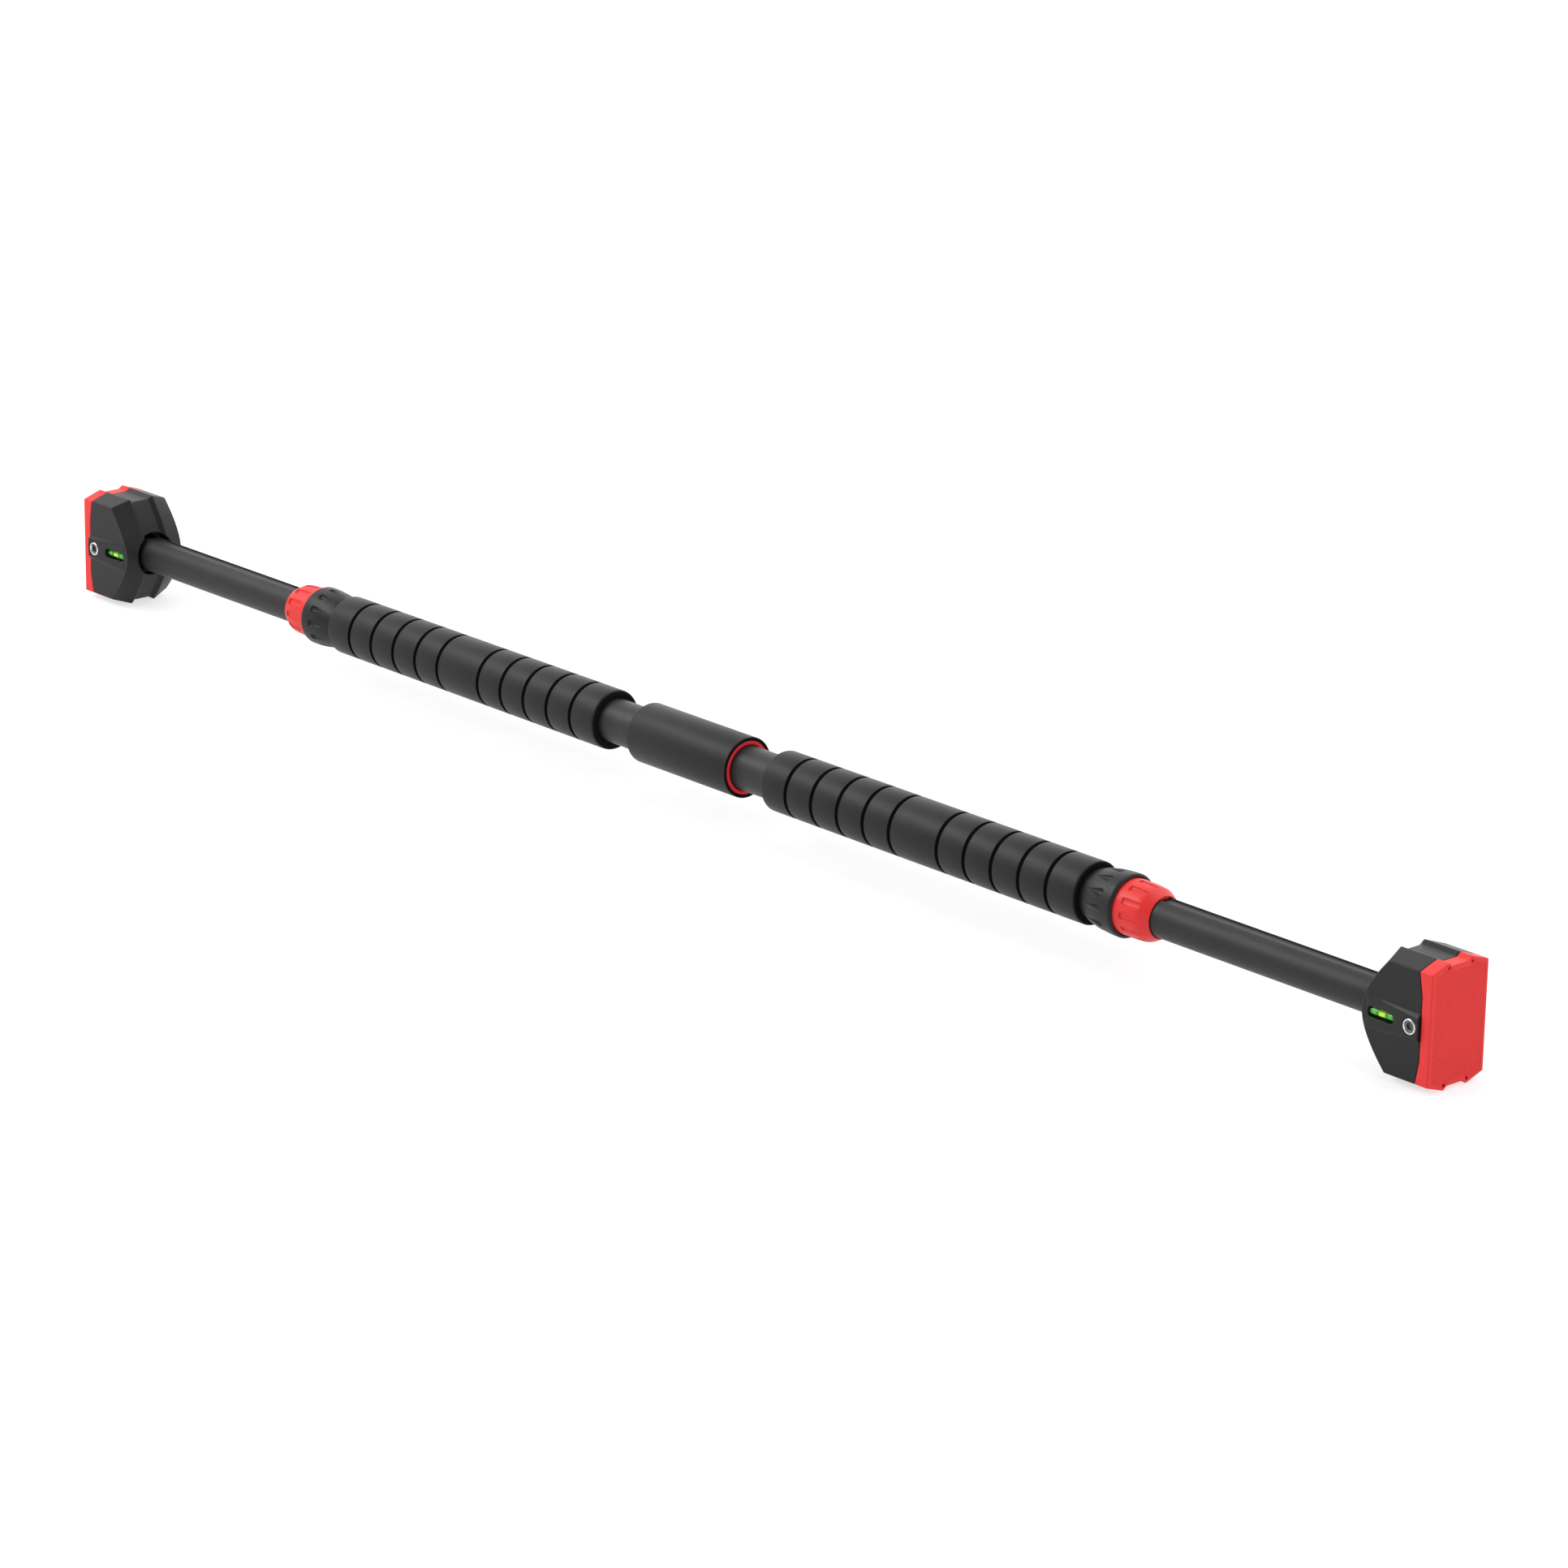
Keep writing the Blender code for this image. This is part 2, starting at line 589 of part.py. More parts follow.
def band_body(side, way):
    """Wedge-shaped raised band: low at the middle of the bar, proud at the pad."""
    low, base, crest = BAND_HEIGHTS
    root = HEAD_HALF_WIDTH - BAND_ROOT
    face = HEAD_HALF_WIDTH
    top = HEAD_HALF_WIDTH + BAND_RISE
    outer = PAD_DEPTH + GAP
    rings = []
    bm = bmesh.new()
    corners = [(outer, base), (BAND_INNER_DEPTH, low)]
    run_out, run_in = BAND_BEVEL
    crests = [(outer + run_out, crest), (BAND_INNER_DEPTH - run_in, low - run_in)]
    rises = [top, face + BAND_LOW]
    for ring, heights in ((corners, (root, root)), (corners, (face, face)), (crests, rises)):
        points = []
        for (depth, z), y in zip(ring, heights):
            points.append((-side * depth, way * y, z))
        for (depth, z), y in zip(ring[::-1], heights[::-1]):
            points.append((-side * depth, way * y, -z))
        rings.append([bm.verts.new(point) for point in points])
    join_rings(bm, rings, closed=False)
    settle_faces(bm)
    return bm


def window_cutter(name, side, parent):
    """Long round-ended pocket for the level vial."""
    bm = bmesh.new()
    straight = WINDOW_HALF - WINDOW_RADIUS
    rings = []
    for y in (VIAL_Y + VIAL_RADIUS + GAP, -HEAD_HALF_WIDTH * OVERCUT):
        ring = []
        for end in (1, -1):
            for i in range(WINDOW_STEPS + 1):
                turn = math.pi * i / WINDOW_STEPS - math.pi / 2
                x = end * (straight + WINDOW_RADIUS * math.cos(turn))
                z = end * WINDOW_RADIUS * math.sin(turn)
                ring.append(bm.verts.new((-side * VIAL_DEPTH + x, y, z)))
        rings.append(ring)
    join_rings(bm, rings, closed=False)
    return add_object("cut_window_" + name, bm, parent)


def shaft_cutter(name, side, parent):
    """Counterbore and bore for the inner tube."""
    deep = HEAD_PEAK_DEPTH * OVERCUT
    stations = [(deep, COUNTERBORE_RADIUS), (COUNTERBORE_DEPTH, COUNTERBORE_RADIUS),
                (COUNTERBORE_DEPTH, BORE_RADIUS), (PLATE[1] + GAP - MM, BORE_RADIUS)]
    bm = turned(stations, even_angles(COARSE), -side, closed=False)
    return add_object("cut_shaft_" + name, bm, parent)


def pocket_cutter(name, side, parent):
    """Hollows above and below the tube, open to the pad, and the seat of the thrust plate."""
    front = PAD_DEPTH - MM
    depths = sorted((-side * front, -side * POCKET_DEPTH))
    bm = box(depths, (-POCKET_Y, POCKET_Y), POCKET_Z)
    merge(bm, box(depths, (-POCKET_Y, POCKET_Y), (-POCKET_Z[1], -POCKET_Z[0])))
    seat = sorted((-side * front, -side * (PLATE[1] + GAP)))
    merge(bm, box(seat, (-PLATE_Y - GAP, PLATE_Y + GAP), (-PLATE_Z - GAP, PLATE_Z + GAP)))
    return add_object("cut_pockets_" + name, bm, parent)


def peg_body(side, place, radius, start, end):
    bm = bmesh.new()
    y, z = PEG_PLACES[place]
    turns = [2 * math.pi * i / PEG_SIDES for i in range(PEG_SIDES)]
    rings = [[bm.verts.new((-side * depth, y + radius * math.cos(t), z + radius * math.sin(t)))
              for t in turns] for depth in (start, end)]
    join_rings(bm, rings, closed=False)
    return bm


def peg_cutter(name, side, parent):
    bm = bmesh.new()
    for place in PEG_PLACES:
        merge(bm, peg_body(side, place, PEG_RADIUS + GAP, -MM, PEG[1] + GAP))
    return add_object("cut_pegs_" + name, bm, parent)


def make_housing(name, side, parent):
    obj = add_object("head_housing_" + name, head_body(side), parent, "black_plastic")
    for label, way in FACES.items():
        band = add_object("add_band_" + label + "_" + name, band_body(side, way), parent)
        boolean(obj, band, "UNION")
    boolean(obj, shaft_cutter(name, side, parent))
    boolean(obj, pocket_cutter(name, side, parent))
    boolean(obj, window_cutter(name, side, parent))
    bolt_holes(obj, name)
    boolean(obj, bpy.data.objects["cut_pegs_" + name])


def make_pad(name, side, parent):
    """Rubber pad: the head's outline in front, thicker along its top and bottom edges."""
    bm = bmesh.new()
    rings = []
    for y, height, _ in head_sections():
        upper = [(0.0, height), (PAD_EDGE_DEPTH, height), (PAD_DEPTH, PAD_FLAT)]
        lower = [(depth, -z) for depth, z in upper[::-1]]
        rings.append([bm.verts.new((-side * depth, y, z)) for depth, z in upper + lower])
    join_rings(bm, rings, closed=False)
    settle_faces(bm)
    obj = add_object("pad_" + name, bm, parent, "red_rubber")
    boolean(obj, bpy.data.objects["cut_pegs_" + name])


def make_vial(name, side, parent):
    centre = -side * VIAL_DEPTH
    turns = even_angles(SMALL)

    def along(stations, closed):
        bm = turned(stations, turns, 1, closed)
        for vert in bm.verts:
            vert.co.x += centre
            vert.co.y += VIAL_Y
        return bm

    wall = VIAL_RADIUS - VIAL_BORE
    glass = [(-VIAL_HALF, VIAL_DOME * VIAL_RADIUS), (-VIAL_HALF + MM, VIAL_RADIUS),
             (VIAL_HALF, VIAL_RADIUS), (VIAL_HALF, VIAL_BORE), (wall + MM - VIAL_HALF, VIAL_BORE)]
    add_object("vial_glass_" + name, along(glass, closed=False), parent, "clear_plastic")
    plug = VIAL_HALF - VIAL_CAP
    radius = VIAL_BORE - GAP
    cap = [(plug, radius), (VIAL_HALF, radius)]
    add_object("vial_cap_" + name, along(cap, closed=False), parent, "green_liquid")
    liquid = [(wall + MM + GAP - VIAL_HALF, radius), (plug - GAP, radius)]
    add_object("vial_liquid_" + name, along(liquid, closed=False), parent, "green_liquid")


def make_end(name, side, parent):
    bolt_cutter(name, side, parent)
    peg_cutter(name, side, parent)
    make_inner_tube(name, side, parent)
    make_housing(name, side, parent)
    make_pad(name, side, parent)
    depths = sorted((-side * PLATE[0], -side * PLATE[1]))
    plate = box(depths, (-PLATE_Y, PLATE_Y), (-PLATE_Z, PLATE_Z))
    add_object("thrust_plate_" + name, plate, parent, "dark_steel")
    for place in PEG_PLACES:
        peg = peg_body(side, place, PEG_RADIUS, *PEG)
        add_object("pad_peg_" + place + "_" + name, peg, parent, "dark_steel")
    make_bolt(name, side, parent)
    make_vial(name, side, parent)


def main():
    clear_scene()
    middle = add_empty("main_axis", MAIN_SHIFT)
    make_main_body(middle)
    for name, side in SIDES.items():
        guide = add_empty("guide_axis_" + name, 0.0, middle)
        make_guide_bush(name, side, guide)
        make_lock_ring(name, side, add_empty("lock_axis_" + name, 0.0, guide))
        end = add_empty("end_axis_" + name, side * HALF_LENGTH - MAIN_SHIFT, guide)
        make_end(name, side, end)


main()
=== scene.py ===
"""Looks of the telescoping doorway pull-up bar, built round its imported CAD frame.

Lengths in the dimension block are millimetres.  "Reach" is a distance from the middle of the
main tube, and "depth" is a distance from a pad's outer face towards the middle of the bar.
"""
import math

import bmesh
import bpy
import numpy as np
from mathutils import Matrix, Vector


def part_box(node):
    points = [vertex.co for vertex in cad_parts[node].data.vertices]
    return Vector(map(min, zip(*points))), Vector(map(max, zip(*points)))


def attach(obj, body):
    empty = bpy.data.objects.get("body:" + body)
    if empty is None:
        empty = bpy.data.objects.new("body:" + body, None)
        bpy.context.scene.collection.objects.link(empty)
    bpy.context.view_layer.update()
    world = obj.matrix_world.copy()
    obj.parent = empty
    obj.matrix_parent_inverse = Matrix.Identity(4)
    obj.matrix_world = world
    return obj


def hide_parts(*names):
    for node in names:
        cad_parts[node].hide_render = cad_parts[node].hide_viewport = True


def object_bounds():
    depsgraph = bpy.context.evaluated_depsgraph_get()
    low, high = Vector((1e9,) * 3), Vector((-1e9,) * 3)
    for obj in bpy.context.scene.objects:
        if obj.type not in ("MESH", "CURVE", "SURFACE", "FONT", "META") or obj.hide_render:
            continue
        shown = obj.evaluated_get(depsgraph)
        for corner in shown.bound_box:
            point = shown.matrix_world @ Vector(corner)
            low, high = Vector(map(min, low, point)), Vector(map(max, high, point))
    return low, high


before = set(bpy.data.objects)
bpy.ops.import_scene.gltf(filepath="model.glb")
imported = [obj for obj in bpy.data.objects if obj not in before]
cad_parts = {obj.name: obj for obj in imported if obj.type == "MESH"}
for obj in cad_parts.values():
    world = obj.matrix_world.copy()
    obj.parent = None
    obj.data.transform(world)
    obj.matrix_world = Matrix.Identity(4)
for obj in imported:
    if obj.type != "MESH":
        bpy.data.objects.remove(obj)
CAD_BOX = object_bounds()
MM = 0.001
SIDES = {"left": -1, "right": 1}


def centre_x(node):
    low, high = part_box(node)
    return (low[0] + high[0]) / 2


MIDDLE = centre_x("main_tube") / MM
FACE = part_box("pad_right")[1][0] / MM

# ---- camera ----
AZIMUTH, ELEVATION, ROLL = 47.95, 17.99, 0.93
TARGET = Vector((0.0845, 0.0, -0.0023))
DISTANCE = 4.050
LENS = 135.3

# ---- light ----
ROOM_FAR, ROOM_NEAR = 1.8, 0.25         # strength of the room behind the bar and behind the camera
FLOOR_GLOW = 0.68

# ---- dimensions of the main tube's pieces, mm ----
GAP = 0.3
MAIN_RADIUS, MAIN_BORE, MAIN_HALF = 16.0, 14.5, 412.0
GRIP_RADIUS, GRIP_START, GRIP_END = 21.8, 89.0, 395.2
GRIP_SOCKET = 17.6                      # bore of the grip's end, which overlaps the collar
GROOVE_PITCH, GROOVE_HALF, GROOVE_DEPTH = 25.94, 1.55, 1.9
GROOVES = 5                             # in each of the two groups on a grip
SLEEVE_HALF, SLEEVE_SPLIT = 52.2, 19.5
RECESSES = 12
PITCH = 360.0 / RECESSES

COLLAR_START, COLLAR_END = 380.0, 428.6
COLLAR_NECK, COLLAR_RADIUS = 17.3, 21.9
COLLAR_CURVE = ((396.0, COLLAR_NECK), (398.5, 18.0), (401.0, 18.8), (404.0, 19.55), (407.0, 20.2),
                (410.5, 20.85), (414.0, 21.3), (420.0, 21.72), (426.0, COLLAR_RADIUS),
                (430.0, COLLAR_RADIUS))
COLLAR_BAND = (400.0, 421.5)            # reaches between which the drops lie
DROP_TIP, DROP_END, DROP_HALF = 401.6, 419.6, 2.7
DROP_DEPTH, DROP_GAIN = 0.25, 1.2       # depth at the tip, and what it gains along the drop
COLLAR_BORE, COLLAR_MOUTH = 16.3, 19.7  # round the main tube, and where the ring slides in
COLLAR_TOOTH, COLLAR_TEETH = 17.4, (414.8, 419.0)
COLLAR_TOOTH_TURN = (0.25, 12.75)       # degrees in each pitch between which a tooth stands

# ---- dimensions of the lock ring, mm ----
RING_START, RING_END = 420.3, 457.0
RING_RADIUS, RING_TOOTH_ROOT, RING_TEETH_END = 19.2, 17.0, 424.8
RING_TOOTH_TURN = (15.5, 27.5)
RING_BAND = (432.0, 451.0)              # reaches between which the recesses lie
RING_SLOT = (434.3, 449.8, 2.4, 1.0)    # start, end, half width and corner radius of a recess
KEY_RADIUS, KEY_ANGLE, RUNNING_RADIUS = 12.5, 14.9, 13.9
KEY_START, RING_THROAT = 426.5, 15.5    # the key begins there; the bore is wider before it

# ---- dimensions of the pieces at the ends, mm ----
TUBE_RADIUS, TUBE_FLOOR, TUBE_SLOT = 13.55, 11.7, 18.0
TUBE_BORE, TUBE_BORE_TOP = 12.05, 10.2  # round part, and flat part under the keyway
TUBE_DEPTH, TUBE_LENGTH = 11.4, 467.0
# Half width, heights of the eave and the ridge, and where across the ridge and the channel's
# floor are.
HEAD_WIDTH, EAVE, RIDGE, RIDGE_Y, CHANNEL_Y, CHANNEL_DEPTH = 25.6, 36.7, 41.7, 10.5, 7.2, 2.3
# Depths of the inner face at the top and at mid height, and the shape of the swell between.
TOP_DEPTH, PEAK_DEPTH, BEND, SLANT = 36.3, 57.0, 14.7, 4.2
SOFT_EDGE = 0.6                         # rounding of the head's and the pad's long edges
BAND_END, BAND_LENGTH = 52.5, 44.5      # depth of the raised band's inner end, and its length
BAND_LOW, BAND_RISE = 0.2, 2.4          # height at the inner end, and what it gains outwards
BAND_HALF, BAND_TAPER = 10.8, 1.2       # half its breadth at the inner end, and what it loses
BAND_BEVEL, BEVEL_LENGTH = 1.15, 1.52   # slope of its flanks, and the length of that slope
MOUTH_RADIUS, MOUTH_DEPTH = 16.4, 47.0  # wider round opening where the inner tube enters
TUBE_HOLE = 13.95
SEAT_HALF_WIDTH, SEAT_HALF_HEIGHT, SEAT_FLOOR = 20.3, 16.3, 11.2
WINDOW_HALF, WINDOW_RADIUS, WINDOW_FLOOR = 7.7, 3.5, 19.3
PAD_THIN, PAD_THICK, PAD_FLAT = 7.7, 10.6, 21.0
RIB_PITCH, RIB_DEPTH = 2.0, 0.6
RIB_BORDER, RIB_FADE = 2.6, 0.5         # plain border round the ribs, and how fast they rise
PEG_Y, PEG_Z, PEG_RADIUS, PEG_HOLE = 10.5, 38.4, 0.88, 1.15
PEG_START, PEG_END = 2.6, 19.9
BOLT_DEPTH, BOLT_FACE, BOLT_HOLE, BOLT_FLOOR = 15.4, 28.1, 5.6, 24.4
BOLT_SEAT = BOLT_FACE - 3.4             # where the bolt's head and the nut's head end
BOLT_SHANK, NUT_BARREL = 3.0, 4.2
SOCKET_RADIUS, SOCKET_DEPTH = 4.1, 0.9  # recessed disc in the middle of a bolt's head
HEXAGON, HEXAGON_DEPTH = 2.5, 2.2       # half width across the flats, and depth below the disc
VIAL_DEPTH, VIAL_Y = 40.5, -22.6
VIAL_RADIUS, VIAL_BORE, VIAL_DOMED_END, VIAL_OPEN_END = 3.0, 2.45, 10.7, 9.9
BUBBLE_HALF, BUBBLE_ANGLE, BUBBLE_DEPTH = 3.4, 62.0, 1.1
FILL_RADIUS, FILL_START, FILL_END = 2.3, -9.4, 9.3

# ---- sampling ----
HEAD_BOX, HEAD_STEP = ((6.0, -30.0, -44.0), (63.5, 30.0, 44.0)), (0.5, 0.5, 0.5)
PAD_BOX, PAD_STEP = ((-2.0, -28.0, -44.0), (13.0, 28.0, 44.0)), (0.35, 0.5, 0.25)
HEAD_SHARE, PAD_SHARE = 0.45, 0.5       # faces left after thinning out
HALF_EDGE, HALF_SIDE = 4, 8             # points on half an end and on a side of a recess's frame


# ---- mesh helpers ----
def add_mesh(name, mesh, body, nodes, material, sharp=35):
    """A finished piece: smooth but for edges over the sharp angle, riding its body."""
    obj = bpy.data.objects.new(name, mesh)
    bpy.context.collection.objects.link(obj)
    mesh.materials.append(material)
    mesh.shade_smooth()
    mesh.set_sharp_from_angle(angle=math.radians(sharp))
    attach(obj, body)
    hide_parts(*nodes)
    return obj


def from_bmesh(name, bm):
    """Mesh in metres from a bmesh in millimetres."""
    bmesh.ops.recalc_face_normals(bm, faces=bm.faces)
    mesh = bpy.data.meshes.new(name)
    bm.to_mesh(mesh)
    bm.free()
    mesh.transform(Matrix.Scale(MM, 4))
    return mesh


def even(count):
    """That many angles spaced evenly round a circle."""
    return [360.0 * i / count for i in range(count)]


def ring_of(bm, x, radius, angles):
    """One ring of points about X; the radius may depend on the angle from +Z."""
    points = []
    for angle in angles:
        r = radius(angle) if callable(radius) else radius
        turn = math.radians(angle)
        points.append(bm.verts.new((x, r * math.sin(turn), r * math.cos(turn))))
    return points


def join(bm, first, second):
    """Faces between two closed rows with the same number of points."""
    count = len(first)
    for i in range(count):
        j = (i + 1) % count
        bm.faces.new((first[i], first[j], second[j], second[i]))


def shell(bm, stations, angles, place):
    """Rings through the stations (reach, radius); returns the first and the last ring."""
    rings = [ring_of(bm, place(x), radius, angles) for x, radius in stations]
    for first, second in zip(rings, rings[1:]):
        join(bm, first, second)
    return rings[0], rings[-1]


def arc(x, r, size, turn_from, turn_to, steps=4):
    """Points of a small rounding whose centre is at (x, r) in reach and radius."""
    points = []
    for i in range(steps + 1):
        turn = math.radians(turn_from + (turn_to - turn_from) * i / steps)
        points.append((x + size * math.cos(turn), r + size * math.sin(turn)))
    return points


def along(side):
    """Function that turns a reach on that side into a place on X."""
    return lambda reach: MIDDLE + side * reach


def revolve(name, stations, angles, place):
    """Closed body of revolution through the stations."""
    bm = bmesh.new()
    first, last = shell(bm, stations, angles, place)
    join(bm, last, first)
    return from_bmesh(name, bm)


# ---- bands of recesses round a piece ----
def rounded_slot(low, high, half, corner):
    """Half outline of a rounded rectangle, as a function of the inward offset."""
    def outline(offset):
        u0, u1, a = low + offset, high - offset, half - offset
        r = max(corner - offset, 0.15)
        turns = [math.radians(15 * i) for i in range(7)]
        start = [(u0 + r - r * math.cos(t), a - r + r * math.sin(t)) for t in turns]
        end = [(u1 - r + r * math.cos(t), a - r + r * math.sin(t)) for t in turns[::-1]]
        return [(u0, 0.0)] + start + [((u0 + u1) / 2, a)] + end + [(u1, 0.0)]
    return outline


def teardrop(tip, end, half):
    """Half outline of a drop, pointed at its tip, as a function of the inward offset."""
    centre = end - half
    lean = math.acos(half / (centre - tip))

    def outline(offset):
        r = half - offset
        point = centre - r / math.cos(lean)
        touch = (centre - r * math.cos(lean), r * math.sin(lean))
        flank = [(point + (touch[0] - point) * i / 8, touch[1] * i / 8) for i in range(8)]
        turns = [lean + (math.pi - lean) * i / 8 for i in range(9)]
        return flank + [(centre - r * math.cos(t), r * math.sin(t)) for t in turns]
    return outline


def recess_frame(low, high):
    """Half outline of one pitch of the band, in reach and degrees."""
    half = PITCH / 2
    start = [(low, half * i / HALF_EDGE) for i in range(HALF_EDGE)]
    side = [(low + (high - low) * i / HALF_SIDE, half) for i in range(HALF_SIDE)]
    end = [(high, half * (1 - i / HALF_EDGE)) for i in range(HALF_EDGE + 1)]
    return start + side + end


def degrees_per_mm(radius):
    return 360 / (2 * math.pi * radius)


def recessed(bm, place, radius, band, outline, profile, scale):
    """A band of the surface with one recess a pitch; profile is (offset, depth) pairs.

    The scale turns the outline's width in millimetres into degrees.
    """
    border = recess_frame(*band)
    rim = [(u, s * scale) for u, s in outline(0.0)]
    loops = []
    for share in (0.0, 0.45, 0.85, 1.0):
        loops.append(([(u + (v - u) * share, s + (t - s) * share)
                       for (u, s), (v, t) in zip(border, rim)], 0.0))
    for offset, depth in profile:
        loops.append(([(u, s * scale) for u, s in outline(offset)], depth))
    for number in range(RECESSES):
        centre = PITCH * number
        rows = []
        for half, depth in loops:
            full = half + [(u, -s) for u, s in half[-2:0:-1]]
            row = []
            for u, s in full:
                r = radius(u) - (depth(u) if callable(depth) else depth)
                turn = math.radians(centre + s)
                row.append(bm.verts.new((place(u), r * math.sin(turn), r * math.cos(turn))))
            rows.append(row)
        for first, second in zip(rows, rows[1:]):
            join(bm, first, second)
        floor = rows[-1]
        count = len(floor)
        for i in range(count // 2):
            corners = [floor[i], floor[i + 1], floor[(count - i - 1) % count], floor[-i % count]]
            unique = list(dict.fromkeys(corners))
            bm.faces.new(unique)


def merged(bm):
    """The same mesh with the seams between its bands closed."""
    bmesh.ops.remove_doubles(bm, verts=bm.verts, dist=0.002)
    return bm


# ---- solids from a distance field ----
# A field is negative inside.  The last value given to meet, blend_in and cut is an edge's radius.
def meet(a, b, r):
    """Intersection of two fields with a rounded edge of radius r."""
    u, v = np.maximum(a + r, 0), np.maximum(b + r, 0)
    return np.minimum(np.maximum(a, b), -r) + np.sqrt(u * u + v * v)


def blend_in(a, b, r):
    """Union of two fields with a fillet of radius r."""
    return -meet(-a, -b, r)


def cut(a, b, r):
    """What is left of a outside b, with a rounded edge of radius r."""
    return meet(a, -b, r)


def surface_nets(field, low, step):
    """Quads over the zero surface of a field sampled from the corner low, inside negative."""
    shape = np.array(field.shape)
    cells = shape - 1
    inside = field < 0
    total = int(np.prod(cells))
    sums = np.zeros((total, 3))
    hits = np.zeros(total)
    quads = []
    for axis in range(3):
        one, two = [a for a in range(3) if a != axis]
        near = [slice(None)] * 3
        far = [slice(None)] * 3
        near[axis], far[axis] = slice(0, -1), slice(1, None)
        crossing = np.argwhere(inside[tuple(near)] != inside[tuple(far)])
        ahead = crossing.copy()
        ahead[:, axis] += 1
        f0 = field[tuple(crossing.T)]
        f1 = field[tuple(ahead.T)]
        point = crossing.astype(float)
        point[:, axis] += f0 / (f0 - f1)
        corner = []
        for back_one, back_two in ((1, 1), (0, 1), (0, 0), (1, 0)):
            cell = crossing.copy()
            cell[:, one] -= back_one
            cell[:, two] -= back_two
            index = np.ravel_multi_index(tuple(cell.T), cells)
            np.add.at(sums, index, point)
            np.add.at(hits, index, 1)
            corner.append(index)
        quad = np.array(corner).T
        flip = (f0 < 0) != (axis == 1)
        quad[~flip] = quad[~flip][:, ::-1]
        quads.append(quad)
    used, lookup = np.unique(np.concatenate(quads), return_inverse=True)
    points = sums[used] / hits[used][:, None]
    return np.asarray(low) + points * np.asarray(step), lookup.reshape(-1, 4)


def sampled(low, high, step):
    """Depth, Y and Z on a grid from one corner to the other."""
    axes = [np.arange(a, b + s, s) for a, b, s in zip(low, high, step)]
    return np.meshgrid(*axes, indexing="ij")


def field_mesh(name, points, quads, side):
    """Mesh in metres from points in depth, Y and Z, at the end of the bar that side gives."""
    place = points.copy()
    place[:, 0] = side * (FACE - points[:, 0])
    faces = quads if side < 0 else quads[:, ::-1]
    mesh = bpy.data.meshes.new(name)
    mesh.from_pydata((place * MM).tolist(), [], faces.tolist())
    return mesh


def roof(y):
    """Height of the ridged top above a place across the width, without the channel."""
    fall = (RIDGE - EAVE) / (HEAD_WIDTH - RIDGE_Y)
    return RIDGE - fall * np.maximum(y - RIDGE_Y, 0)


def channel(y):
    """Depth of the channel along the middle of the top and the bottom."""
    return CHANNEL_DEPTH * np.clip((RIDGE_Y - y) / (RIDGE_Y - CHANNEL_Y), 0, 1)


def joint_depth(z, height):
    """Depth of the joint between the pad and the head."""
    return PAD_THIN + (PAD_THICK - PAD_THIN) * np.maximum(z - PAD_FLAT, 0) / (height - PAD_FLAT)


def roof_field(y, z):
    """Distance above the ridged top."""
    lean = math.atan((RIDGE - EAVE) / (HEAD_WIDTH - RIDGE_Y))
    slope = (z - RIDGE) * math.cos(lean) + (y - RIDGE_Y) * math.sin(lean)
    return np.where(y > RIDGE_Y, slope, z - RIDGE)


def inner_face(y, z):
    """Depth of the head's inner face.

    It swells along a quadratic curve from the ridge to mid height; t is the place on the curve.
    """
    h = roof(y)
    a, b, c = h - 2 * BEND, 2 * BEND - 2 * h, h - z
    t = (-b - np.sqrt(np.maximum(b * b - 4 * a * c, 0))) / (2 * a)
    slant = SLANT * (1 - np.clip((y - RIDGE_Y) / (HEAD_WIDTH - RIDGE_Y), 0, 1))
    return PEAK_DEPTH - (PEAK_DEPTH - TOP_DEPTH) * (1 - t) ** 2 + slant


def unit(field, step):
    """A height field made into a distance by its slope."""
    slopes = np.gradient(field, *step)
    return field / np.sqrt(1e-6 + sum(s * s for s in slopes))


def band_field(d, y, z):
    """The raised band along the front and the back of a head."""
    share = np.clip((BAND_END - d) / BAND_LENGTH, 0, 1)
    top = y - HEAD_WIDTH - BAND_LOW - BAND_RISE * share
    bevel = (z - BAND_HALF + BAND_TAPER * share + BAND_BEVEL * (y - HEAD_WIDTH)) / BEVEL_LENGTH
    ends = np.maximum(d - BAND_END + (y - HEAD_WIDTH), (PAD_THIN + GAP) - d)
    root = HEAD_WIDTH - 4 - y
    return np.maximum(meet(meet(top, bevel, 0.35), ends, 0.3), root)


